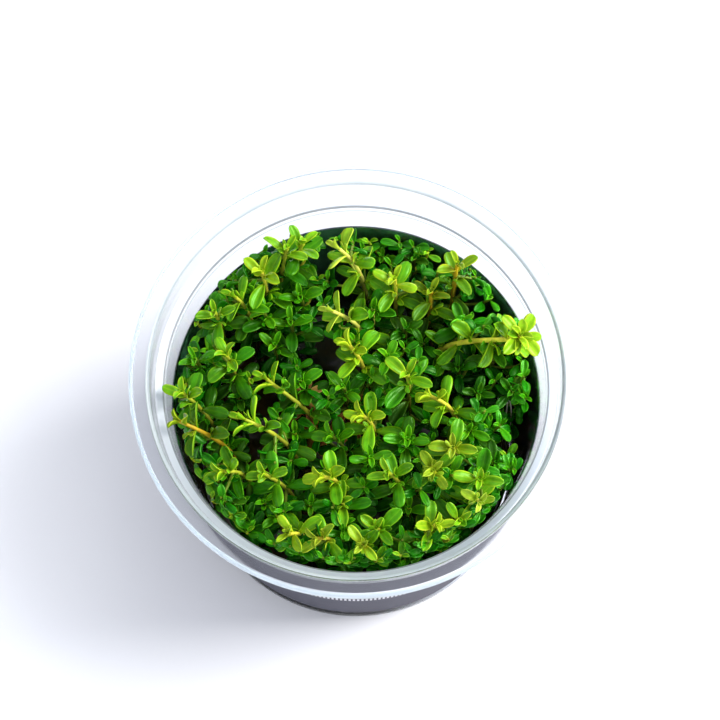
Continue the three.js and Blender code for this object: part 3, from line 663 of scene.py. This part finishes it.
def side_line(main, parent_turn, tip):
    """The line of a side shoot, which forks off the stem just above the gel"""
    tip = np.array(tip, float)
    foot = main.node(0, parent_turn)
    band = main.node(main.below(main.length() - FORK), parent_turn)
    sides = [foot["first"], foot["second"], -foot["first"], -foot["second"]]
    to_tip = (tip - foot["centre"]) * np.array([1, 1, 0])
    outward = max(sides, key=lambda side: side.dot(to_tip))
    start = (foot["centre"] + band["centre"]) / 2 + outward * foot["half"]
    lean = (tip - start) * np.array([1, 1, 0])
    bend = start + outward * SIDE_REACH * np.linalg.norm(lean)
    bend[2] += SIDE_RISE * (tip[2] - start[2])
    under = tip.copy()
    under[2] -= SIDE_UNDER_TIP * (tip[2] - start[2])
    return StemLine([start, bend, under, tip], lean)


CHANCE_STEP = 16807
CHANCE_RANGE = 2147483647


def chances(seed):
    """A repeatable run of numbers between -1 and 1"""
    state = seed
    while True:
        state = (state * CHANCE_STEP) % CHANCE_RANGE
        yield 2 * state / CHANCE_RANGE - 1


# How far chance turns and lifts a leaf, in degrees; how far it changes the leaf's length and
# how far the tip of a solid leaf drops, both as shares of that length
LUCK_DEGREES = 8
LUCK_LENGTH = 0.08
TIP_DROP = 0.06


def leaf_place(node, side, pair, grown, luck, move):
    """Where one leaf grows: its base, its directions, and its length and width"""
    outward = (node["first"], node["second"], -node["first"], -node["second"])[side]
    sideways = np.cross(node["along"], outward)
    turn = math.radians(move[0] + LUCK_DEGREES * luck[0])
    lift = math.radians(pair[3] + move[1] + LUCK_DEGREES * luck[1])
    length = grown * pair[1] * (1 + LUCK_LENGTH * luck[2]) * move[2]
    heading = outward * math.cos(turn) + sideways * math.sin(turn)
    blade = heading * math.cos(lift) + node["along"] * math.sin(lift)
    upward = node["along"] * math.cos(lift) - heading * math.sin(lift)
    base = node["centre"] + outward * node["half"]
    return {"base": base, "blade": blade, "upward": upward, "length": length, "width": pair[2] * length,
            "tip": base + blade * length - upward * TIP_DROP * length}


# How near a leaf's tip is to a corner of the solid shoot where the solid has that leaf too
SAME_TIP = 0.05


def solid_leaves(solid_points, line, turn, pairs, grown, owner):
    """The leaves that the solid shoot has, found by their tips"""
    chance = chances(owner * 7919 + 17)
    found = []
    for number in range(pairs):
        node = line.node(line.below(PAIRS[number][0] * grown / PAIRS_LEAF), turn)
        for side in ((0, 2) if number % 2 == 0 else (1, 3)):
            luck = [next(chance), next(chance), next(chance)]
            for move in MOVES:
                leaf = leaf_place(node, side, PAIRS[number], grown, luck, move)
                gap = solid_points.find(Vector(leaf["tip"]) * MM)[2]
                if gap < SAME_TIP * MM:
                    leaf["pair"] = number
                    leaf["node"] = node
                    found.append(leaf)
                    break
    return found


# One leaf form a unit long: a grid shaped to an egg outline that is broadest past the
# middle, on a short stalk, grooved along the midrib, then given its thickness.
LEAF_THICKNESS = 0.035
BLADE_NARROWING = 0.84
BLADE_RISE = 0.16
BLADE_DROOP = 0.22
STALK_WIDTH = 0.16
BROADEST = 0.612


def leaf_half_width(along):
    """Half the blade's width as a share of its full width, along its length"""
    body = max(along, 0) ** 0.72 * math.sqrt(max(1 - along**2.7, 0)) / BROADEST
    return 0.5 * max(body, STALK_WIDTH * (1 - along))


def leaf_form(name, fold, curl, bow, twist):
    """A leaf folded up along its midrib, with curled edges, bowed along its length and twisted"""
    bm = bmesh.new()
    bmesh.ops.create_grid(bm, x_segments=4, y_segments=8, size=0.5)
    for vert in bm.verts:
        across = 2 * vert.co.x
        along = 1 - (1 - (vert.co.y + 0.5)) ** 1.5
        half = leaf_half_width(along)
        edge = abs(across)
        height = BLADE_RISE * along - BLADE_DROOP * along**2 + bow * math.sin(math.pi * along)
        height += (fold * edge - curl * edge**2) * half
        height += twist * across * half * (along - 0.3)
        vert.co = (across * half, along, height)
    bmesh.ops.remove_doubles(bm, verts=bm.verts[:], dist=1e-4)
    bmesh.ops.recalc_face_normals(bm, faces=bm.faces[:])
    bmesh.ops.solidify(bm, geom=bm.faces[:], thickness=LEAF_THICKNESS)
    bmesh.ops.recalc_face_normals(bm, faces=bm.faces[:])
    across_layer = bm.verts.layers.float.new("blade_across")
    along_layer = bm.verts.layers.float.new("blade_along")
    for vert in bm.verts:
        half = max(leaf_half_width(min(max(vert.co.y, 0), 1)), 0.02)
        vert[across_layer] = max(-1, min(1, vert.co.x / half))
        vert[along_layer] = max(0, min(1, vert.co.y))
    bm.verts.layers.float_color.new("leaf_tint")
    for face in bm.faces:
        face.smooth = True
    return finished_mesh(bm, name)


grown_leaves = [
    leaf_form("leaf_flat", 0.05, -0.10, 0.00, 0.00),
    leaf_form("leaf_spoon", 0.05, -0.32, -0.02, 0.10),
    leaf_form("leaf_arched", 0.15, 0.25, 0.05, -0.10),
    leaf_form("leaf_twisted", 0.10, -0.15, 0.03, 0.40),
    leaf_form("leaf_turned", 0.10, -0.15, 0.03, -0.40),
]
young_leaf = leaf_form("leaf_young", 0.55, 0.10, 0.02, 0.0)

# Colouring by kind of shoot: the youngest leaves, the grown ones, the oldest, and the stem's top
COLOURING = {
    "gold": ((0.34, 0.58, 0.015), (0.13, 0.40, 0.004), (0.03, 0.18, 0.002), (1.0, 0.94, 0.08)),
    "lemon": ((0.36, 0.58, 0.012), (0.080, 0.34, 0.003), (0.005, 0.075, 0.001), (0.78, 0.70, 0.06)),
    "pale": ((0.48, 0.68, 0.040), (0.115, 0.40, 0.005), (0.008, 0.090, 0.001), (0.84, 0.80, 0.14)),
    "lime": ((0.19, 0.50, 0.010), (0.026, 0.22, 0.002), (0.002, 0.050, 0.001), (0.52, 0.56, 0.04)),
    "olive": ((0.24, 0.40, 0.010), (0.050, 0.20, 0.003), (0.007, 0.060, 0.001), (0.66, 0.42, 0.02)),
    "blush": ((0.34, 0.50, 0.020), (0.060, 0.29, 0.003), (0.007, 0.070, 0.001), (0.66, 0.54, 0.05)),
    "green": ((0.06, 0.34, 0.003), (0.007, 0.145, 0.001), (0.001, 0.034, 0.001), (0.16, 0.24, 0.02)),
    # The deep colouring of the lowest shoots is partly their darker green and partly painted shade among the
    # stems
    "deep_shaded": ((0.02, 0.18, 0.002), (0.003, 0.072, 0.001), (0.001, 0.022, 0.001), (0.08, 0.10, 0.01)),
}
STEM_LOW = (0.05, 0.045, 0.006)

# A stem's thickness as a share of the solid's, the millimetres in which its colour fades, its
# steps and their swelling, and how far a leaf's foot is sunk in it
SLENDER, PLAIN, STOUT = 0.75, 1.2, 1.5
STEM_FADE = 26
STOUT_STEM_FADE = 70
STEM_STEPS = 26
SWELLING = 0.14
LEAF_SUNK = 0.25


def between(one, two, share):
    return [a + (b - a) * share for a, b in zip(one, two)]


def tint_at_age(colouring, age):
    """The leaf's colour from young (0) through grown (1) to old (2)"""
    young, grown, old = COLOURING[colouring][:3]
    return between(young, grown, age) if age < 1 else between(grown, old, age - 1)


def add_leaf(bm, form, leaf, tint):
    """Grows a copy of the leaf form at a leaf's place, in its own tint"""
    before = len(bm.verts)
    bm.from_mesh(form)
    bm.verts.ensure_lookup_table()
    fresh = bm.verts[before:]
    across = np.cross(leaf["blade"], leaf["upward"])
    width = leaf["width"] * BLADE_NARROWING
    columns = np.array((across * width, leaf["blade"] * leaf["length"], leaf["upward"] * leaf["length"]))
    shape = Matrix((columns.T * MM).tolist()).to_4x4()
    shape.translation = Vector(leaf["base"] - leaf["blade"] * LEAF_SUNK) * MM
    bmesh.ops.transform(bm, matrix=shape, verts=fresh)
    tint_layer = bm.verts.layers.float_color["leaf_tint"]
    for vert in fresh:
        vert[tint_layer] = (*tint, 1)


def add_stem(bm, line, top, stoutness):
    """A round stem, a little swollen at its leaf pairs, whose colour at the tip is given"""
    curve = bpy.data.curves.new("stem", "CURVE")
    curve.dimensions = "3D"
    curve.bevel_depth = 1.0
    curve.bevel_resolution = 1
    curve.use_fill_caps = True
    spline = curve.splines.new("POLY")
    spline.points.add(STEM_STEPS)
    for step, point in enumerate(spline.points):
        share = step / STEM_STEPS
        half = STEM_HALF_ROOT + (STEM_HALF_TIP - STEM_HALF_ROOT) * share
        swell = 1.0 + (SWELLING if step % 4 == 2 else 0)
        point.co = (*(line.at(share) * MM), 1)
        point.radius = half * stoutness * swell * MM
    holder = bpy.data.objects.new("stem", curve)
    mesh = bpy.data.meshes.new_from_object(holder)
    before_verts, before_faces = len(bm.verts), len(bm.faces)
    bm.from_mesh(mesh)
    bm.verts.ensure_lookup_table()
    bm.faces.ensure_lookup_table()
    tint_layer = bm.verts.layers.float_color["leaf_tint"]
    tip = line.at(1)[2]
    fade = STEM_FADE if stoutness in (SLENDER, PLAIN) else STOUT_STEM_FADE
    for vert in bm.verts[before_verts:]:
        depth = (tip - vert.co.z / MM) / fade
        vert[tint_layer] = (*between(top, STEM_LOW, min(1, max(0, depth))), 1)
    for face in bm.faces[before_faces:]:
        face.smooth = True
        face.material_index = 1
    bpy.data.objects.remove(holder)
    bpy.data.curves.remove(curve)
    bpy.data.meshes.remove(mesh)


# Where a leaf is paler, as a share of the way and how pale it is there: along it from the stalk,
# and across it from the midrib to the margin. Then how its tint is raised, and the palest it gets.
PALE_ALONG = ((0.0, 0.6), (0.35, 0.10), (0.6, 0.0))
PALE_ACROSS = ((0.0, 0.26), (0.10, 0.06), (0.40, 0.0), (0.78, 0.10), (0.92, 0.62))
STALK_GAIN = (4.0, 1.5, 2.0)
MARGIN_GAIN = (4.2, 2.2, 3.2)
PALEST = (0.72, 0.82, 0.16)


def paler_where(tree, colour, tint, way, shades, gain):
    """The colour, with a raised tint laid over it as the shades say"""
    pale = add_node(tree, "ShaderNodeValToRGB", {"Fac": way})
    steps = pale.color_ramp.elements
    for position, shade in shades[1:-1]:
        steps.new(position)
    for step, (position, shade) in zip(steps, shades):
        step.position = position
        step.color = (shade, shade, shade, 1)
    raised = add_node(tree, "ShaderNodeVectorMath", {0: tint, 1: gain}, operation="MULTIPLY")
    capped = add_node(tree, "ShaderNodeVectorMath", {0: raised.outputs["Vector"], 1: PALEST},
                      operation="MINIMUM")
    return mixed(tree, pale.outputs["Color"], colour, capped.outputs["Vector"])


def rotala_material(name, is_leaf):
    """Living leaf or stem: waxy, tinted by its own attribute, with veins and mottling"""
    material, tree, waxy = new_material(name)
    tint = add_node(tree, "ShaderNodeAttribute", {}, attribute_name="leaf_tint").outputs["Color"]
    mottle = add_clouds(tree, {"Scale": 420, "Detail": 4})["Noise"]
    light_and_dark = remapped(tree, mottle, (0.3, 0.7), (0.62, 1.22))
    mottled = add_node(tree, "ShaderNodeVectorMath", {0: tint, "Scale": light_and_dark}, operation="SCALE")
    colour = mottled.outputs["Vector"]
    if is_leaf:
        along = add_node(tree, "ShaderNodeAttribute", {}, attribute_name="blade_along")
        across = add_node(tree, "ShaderNodeAttribute", {}, attribute_name="blade_across")
        to_margin = add_node(tree, "ShaderNodeMath", {0: across.outputs["Fac"]}, operation="ABSOLUTE")
        colour = paler_where(tree, colour, tint, along.outputs["Fac"], PALE_ALONG, STALK_GAIN)
        colour = paler_where(tree, colour, tint, to_margin.outputs["Value"], PALE_ACROSS, MARGIN_GAIN)
    relief = add_node(tree, "ShaderNodeBump", {"Height": mottle, "Strength": 0.15, "Distance": 0.0001})
    set_inputs(tree, waxy, {
        "Base Color": colour, "Normal": relief.outputs["Normal"], "Roughness": 0.26,
        "Specular IOR Level": 0.4, "Specular Tint": (0.5, 1.0, 0.3, 1), "Subsurface Weight": 0.08,
        "Subsurface Radius": (0.6, 1.0, 0.2), "Subsurface Scale": 0.0006,
    })
    return material


leaf_material = rotala_material("rotala_leaf", True)
stem_material = rotala_material("rotala_stem", False)


def axil_leaves(leaf, chance):
    """A pair of small young leaves that stands in the angle between a grown leaf and the stem"""
    node = leaf["node"]
    rising = unit(leaf["blade"] * 0.7 + node["along"] * chance.uniform(0.6, 1.0))
    across = unit(np.cross(rising, leaf["upward"]))
    length = leaf["length"] * chance.uniform(0.34, 0.52)
    pair = []
    for side in (-1, 1):
        blade = unit(rising + across * side * chance.uniform(0.45, 0.8))
        upward = unit(np.cross(across * side, blade)) * side
        if upward[2] < 0:
            upward = -upward
        pair.append({"base": leaf["base"] + rising * 0.8, "blade": blade, "upward": upward,
                     "length": length, "width": length * 0.5})
    return pair


def inside_wall(point, room):
    """Whether a point is inside the cup's wall, with room to spare"""
    return math.hypot(point[0], point[1]) < wall_radius(point[2]) - WALL - room


# The lower leaves: millimetres between their pairs, how many pairs, how much smaller each pair
# is than the last, and a pair's length, width and lift in the terms of PAIRS
LOW_PAIR_STEP = 4.6
LOW_PAIRS = 4
LOW_PAIR_SHRINK = 0.08
LOW_PAIR = (0, 0.96, 0.48, -4)
LOW_LEAF_ROOM = 1.2


def low_leaves(line, turn, pairs, grown, chance):
    """The older leaves lower on the stem, in the shade, as far as they stay inside the cup"""
    lowest = PAIRS[pairs - 1][0] * grown / PAIRS_LEAF
    found = []
    for number in range(LOW_PAIRS):
        distance = lowest + LOW_PAIR_STEP * (number + 1) * chance.uniform(0.9, 1.1)
        share = line.below(distance)
        if share == 0:
            break
        node = line.node(share, turn + 90 * ((pairs + number) % 2))
        for side in (0, 2):
            luck = [chance.uniform(-2, 2) for part in range(3)]
            move = (0, 0, 1 - LOW_PAIR_SHRINK * number)
            leaf = leaf_place(node, side, LOW_PAIR, grown, luck, move)
            if inside_wall(leaf["tip"], LOW_LEAF_ROOM) and leaf["tip"][2] > GEL_TOP + 1:
                leaf["pair"] = number
                found.append(leaf)
    return found


# The rosette's leaves: the way each points in degrees, its length and its lift in degrees
ROSETTE = ((20, 5.2, 38), (84, 6.4, 10), (118, 4.4, 46), (160, 5.8, 8), (208, 4.6, 40), (250, 6.4, 12),
           (300, 4.8, 42), (338, 6.0, 14))
ROSETTE_WIDTH = 0.54
ROSETTE_BELOW_TIP = 0.9


def add_rosette(bm, line, turn, colouring, chance):
    """The ring of broad young leaves that crowns the stout shoot leaning on the mouth's edge"""
    top = line.node(line.below(ROSETTE_BELOW_TIP), turn)
    for way, length, lift in ROSETTE:
        turned = math.radians(way)
        node = dict(top, first=top["first"] * math.cos(turned) + top["second"] * math.sin(turned))
        luck = [chance.uniform(-0.6, 0.6)] * 3
        leaf = leaf_place(node, 0, (0, 1, ROSETTE_WIDTH, lift), length, luck, MOVES[0])
        add_leaf(bm, chance.choice(grown_leaves), leaf, tint_at_age(colouring, chance.uniform(0.2, 1.1)))


# A sprig's leaf pairs, in the terms of PAIRS, with the age of each pair; the length of its
# leaves; and the ways in which one is moved aside to stay inside the wall, in the terms of MOVES
SPRIG_PAIRS = [(0.0, 0.6, 0.44, 50), (1.6, 0.95, 0.50, 26), (4.2, 1.0, 0.52, 8)]
SPRIG_AGES = (0.2, 0.7, 1.1)
SPRIG_LEAF = 4.4
SPRIG_MOVES = ((0, 0, 1), (40, 10, 0.9), (-40, 10, 0.9), (0, 45, 0.8), (75, 10, 0.8))
SPRIG_ROOM = 0.6


def add_sprig(bm, start, tip, colouring, chance):
    """One slender side sprig with its small leaves, each kept inside the cup's wall"""
    level = (tip - start) * np.array([1, 1, 0])
    sprig = StemLine([start, start + level * 0.6, tip - np.array([0, 0, 2.5]), tip], level)
    add_stem(bm, sprig, COLOURING[colouring][3], SLENDER)
    turn = chance.uniform(0, 180)
    for number, pair in enumerate(SPRIG_PAIRS):
        node = sprig.node(sprig.below(pair[0]), turn + 90 * number)
        for side in (0, 2):
            luck = [chance.uniform(-1.5, 1.5) for part in range(3)]
            for move in SPRIG_MOVES:
                leaf = leaf_place(node, side, pair, SPRIG_LEAF, luck, move)
                if inside_wall(leaf["tip"], SPRIG_ROOM) and leaf["tip"][2] < WALL_TOP:
                    age = SPRIG_AGES[number] + chance.uniform(-0.1, 0.4)
                    form = young_leaf if number == 0 else chance.choice(grown_leaves)
                    add_leaf(bm, form, leaf, tint_at_age(colouring, age))
                    break


# The sprigs of a stem: how far below its tip each forks off, how far out it reaches and rises,
# all in millimetres. The highest one is only on shoots that stand near the wall, and sprigs
# past the middle of the cup point outward.
SPRIG_DROPS = (4.5, 10, 17, 25)
SPRIG_REACH = (4.0, 7.5)
SPRIG_RISE = (5.0, 9.0)
SHORTEST_SPRIG = 1.5
OUTER_SHOOT = 29
MIDDLE = 22


def add_sprigs(bm, line, colouring, chance):
    """Short side sprigs with small leaves, which fill the room between the stems and the wall"""
    for drop in SPRIG_DROPS:
        start = line.at(line.below(drop * chance.uniform(0.85, 1.15)))
        spread = math.hypot(start[0], start[1])
        if drop == SPRIG_DROPS[0] and spread < OUTER_SHOOT:
            continue
        way = math.atan2(start[1], start[0]) if spread > MIDDLE else chance.uniform(0, 2 * math.pi)
        way += chance.uniform(-0.9, 0.9)
        level = np.array([math.cos(way), math.sin(way), 0.0])
        reach = chance.uniform(*SPRIG_REACH)
        room = wall_radius(start[2]) - WALL - SPRIG_LEAF * 0.45 - math.hypot(*(start + level * reach)[:2])
        reach += min(0, room)
        if reach > SHORTEST_SPRIG:
            tip = start + level * reach + np.array([0, 0, chance.uniform(*SPRIG_RISE)])
            tip[2] = min(tip[2], WALL_TOP - 1.5)
            add_sprig(bm, start, tip, colouring, chance)


# Sprigs beside the wall and in the gaps between the stems, listed one by one: the number of the
# shoot they fork from, and their tip
WALL_SPRIGS = [
    (51, 36.6, 14.6, 53.0), (51, 35.0, 18.6, 51.0), (51, 38.2, 9.6, 50.0), (3, 31.4, 24.0, 54.0),
    (3, 27.6, 28.4, 56.0), (3, 24.2, 32.0, 51.0), (52, 38.4, 4.6, 49.0), (52, 38.8, 0.4, 51.0),
    (50, 35.6, -17.2, 54.0), (50, 34.4, -12.6, 48.0), (27, 32.6, -22.4, 57.0), (26, 30.0, -26.4, 57.0),
    (25, 26.0, -30.2, 56.0), (24, 20.6, -34.4, 57.5), (24, 15.4, -37.0, 57.0), (22, 9.8, -38.2, 58.0),
    (21, 4.4, -39.4, 58.5), (21, -1.6, -39.6, 58.0), (20, -7.4, -38.8, 58.5), (19, -12.6, -37.4, 58.0),
    (19, -18.4, -34.8, 56.0), (48, -24.6, -31.4, 53.0), (48, -28.2, -28.0, 54.0), (47, -32.4, -24.6, 56.0),
    (18, -34.2, -20.2, 57.0), (11, -36.6, -15.4, 56.0), (12, -38.4, -6.2, 54.0), (46, -38.8, 3.4, 54.0),
    (46, -38.0, 10.8, 56.0), (13, -36.2, 17.4, 56.0), (13, -33.6, 22.0, 54.0), (14, -28.2, 28.6, 56.0),
    (35, -22.8, 33.2, 56.0), (35, -16.6, 36.2, 55.0), (34, -9.6, 38.0, 56.0), (4, -3.6, 38.8, 54.0),
    (55, 3.2, 38.6, 52.0), (55, 10.2, 37.8, 54.0), (55, 16.8, 35.2, 54.0),
    (4, -6.6, 27.6, 56.0), (38, -7.4, 22.6, 54.0), (38, -8.8, 28.2, 55.0),
    (39, -10.6, 18.6, 54.0), (41, -7.0, -2.6, 53.0), (42, -16.4, 4.8, 54.0),
    (56, -24.4, 5.2, 52.0), (8, -18.2, -3.4, 54.0), (43, -9.4, -6.2, 52.0),
]

# Dead leaves caught on a stem in the open patch: the shoot, how far below its tip, the way they
# point in degrees, and their length
DEAD_LEAVES = [(42, 9, 20, 5.0), (42, 11, 75, 4.6), (42, 12, -30, 5.4), (42, 14, 45, 4.8), (42, 8, 110, 4.2)]
DEAD_LEAF = (0.42, 0.22, 0.05)


def add_dead_leaf(bm, line, drop, way, length, chance):
    """One brown leaf that lies nearly level, caught against the stem"""
    start = line.at(line.below(drop))
    blade = unit(np.array([math.cos(math.radians(way)), math.sin(math.radians(way)), 0.1]))
    across = np.cross(np.array([0, 0, 1.0]), blade)
    leaf = {"base": start + blade * 0.4, "blade": blade, "upward": unit(np.cross(blade, across)),
            "length": length, "width": length * 0.5}
    add_leaf(bm, chance.choice(grown_leaves), leaf, DEAD_LEAF)


# Fine white roots that hang from the lower stems into the gel: the shoot, how far below its
# tip they start, and the way they spread in degrees
ROOTS = [(50, 6, -10), (50, 8, 25), (50, 9, 50), (49, 10, -20), (49, 12, -45), (52, 6, -70), (52, 8, -95),
         (12, 14, 180), (11, 16, 200)]
ROOT_SPREAD = 3.0
ROOT_HANG = 12.0
ROOT_STOUTNESS = 0.3
ROOT_COLOUR = (0.9, 0.85, 0.72)


def add_root(bm, line, drop, way):
    """One pale root, which arches from the stem out to the wall and down to the gel"""
    start = line.at(line.below(drop))
    level = np.array([math.cos(math.radians(way)), math.sin(math.radians(way)), 0.0])
    end = start + level * ROOT_SPREAD
    end[:2] *= min(1, (wall_radius(GEL_TOP) - WALL - 1.5) / math.hypot(end[0], end[1]))
    end[2] = GEL_TOP
    out = start + level * ROOT_SPREAD * 1.1
    out[:2] *= min(1, (wall_radius(start[2]) - WALL - 0.8) / math.hypot(out[0], out[1]))
    root = StemLine([start, out, out - np.array([0, 0, ROOT_HANG]), end], level)
    add_stem(bm, root, ROOT_COLOUR, ROOT_STOUTNESS)


# The age of each leaf pair from the tip down, the share of grown leaves with young ones in
# their axils, the tint that leaves yellow toward, the colour of withered leaves, the shoots
# whose low leaves are withered, and the size of the bud's two leaves
PAIR_AGE = (0.0, 0.45, 1.0, 1.35, 1.7)
AXIL_SHARE = 0.75
YELLOWING = (0.4, 0.55, 0.03)
WITHERED_LEAF = (0.22, 0.10, 0.02)
WITHERED_BELOW = (9, 41, 42)
BUD_LENGTH = 1.9
BUD_WIDTH = 0.9


def dress_stem(bm, line, turn, pairs, grown, leaves, colouring, chance, withered=False):
    """Puts the fine leaves, the axil leaves, the low leaves and the bud on one stem"""
    for leaf in leaves:
        age = PAIR_AGE[leaf["pair"]] + chance.uniform(-0.15, 0.2)
        tint = between(tint_at_age(colouring, max(0, age)), YELLOWING, chance.uniform(0, 0.06))
        form = young_leaf if leaf["pair"] == 0 else chance.choice(grown_leaves)
        add_leaf(bm, form, leaf, tint)
        if leaf["pair"] > 0 and chance.random() < AXIL_SHARE:
            shade = tint_at_age(colouring, 0.3 * leaf["pair"] + chance.uniform(-0.2, 0.2))
            for small in axil_leaves(leaf, chance):
                add_leaf(bm, chance.choice(grown_leaves), small, shade)
    for leaf in low_leaves(line, turn, pairs, grown, chance):
        tint = WITHERED_LEAF if withered else tint_at_age(colouring, min(2, 1.6 + leaf["pair"] * 0.1))
        add_leaf(bm, chance.choice(grown_leaves), leaf, tint)
    top = line.node(1, turn)
    for outward in (top["second"], -top["second"]):
        blade = unit(outward * 0.32 + top["along"])
        bud_leaf = {"base": top["centre"], "blade": blade,
                    "upward": unit(np.cross(np.cross(blade, outward), blade)) * -1,
                    "length": BUD_LENGTH, "width": BUD_WIDTH}
        add_leaf(bm, young_leaf, bud_leaf, tint_at_age(colouring, 0))


def rows_of(shoot_number, rows):
    """The rows that belong to one shoot, without its number"""
    return [row[1:] for row in rows if row[0] == shoot_number]


for number, row in enumerate(SHOOTS, start=1):
    name = f"shoot_{number:02d}"
    solid_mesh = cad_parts[name].data
    solid_points = KDTree(len(solid_mesh.vertices))
    for index, vertex in enumerate(solid_mesh.vertices):
        solid_points.insert(vertex.co, index)
    solid_points.balance()
    chance = random.Random(number)
    turn, pairs, grown, colouring = row[7:]
    bm = bmesh.new()
    # A leaf form is loaded and emptied again, because the mesh keeps its attribute layers
    bm.from_mesh(young_leaf)
    bmesh.ops.delete(bm, geom=bm.verts[:], context="VERTS")
    line = main_line(row)
    stem_top = COLOURING[colouring][3]
    add_stem(bm, line, stem_top, STOUT if colouring == "gold" else PLAIN)
    leaves = solid_leaves(solid_points, line, turn, pairs, grown, number)
    dress_stem(bm, line, turn, pairs, grown, leaves, colouring, chance, number in WITHERED_BELOW)
    add_sprigs(bm, line, "green", chance)
    for drop, way, length in rows_of(number, DEAD_LEAVES):
        add_dead_leaf(bm, line, drop, way, length, chance)
    for drop, way in rows_of(number, ROOTS):
        add_root(bm, line, drop, way)
    for tip in rows_of(number, WALL_SPRIGS):
        foot = line.at(line.below(max(0.5, row[4] - tip[2] + chance.uniform(6.5, 8.5))))
        add_sprig(bm, foot, np.array(tip), chance.choice(("green", "lime")), chance)
    if colouring == "gold":
        add_rosette(bm, line, turn, colouring, chance)
    for *side_tip, side_turn, side_pairs, side_grown in rows_of(number, SIDE_SHOOTS):
        branch = side_line(line, turn, side_tip)
        add_stem(bm, branch, stem_top, PLAIN)
        leaves = solid_leaves(solid_points, branch, side_turn, side_pairs, side_grown, len(SHOOTS) + number)
        dress_stem(bm, branch, side_turn, side_pairs, side_grown, leaves, "green", chance)
    mesh = finished_mesh(bm, f"rotala_{number:02d}")
    shoot = new_object(f"rotala_{number:02d}", mesh)
    mesh.materials.append(leaf_material)
    mesh.materials.append(stem_material)
    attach(shoot, "root")
    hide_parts(name)
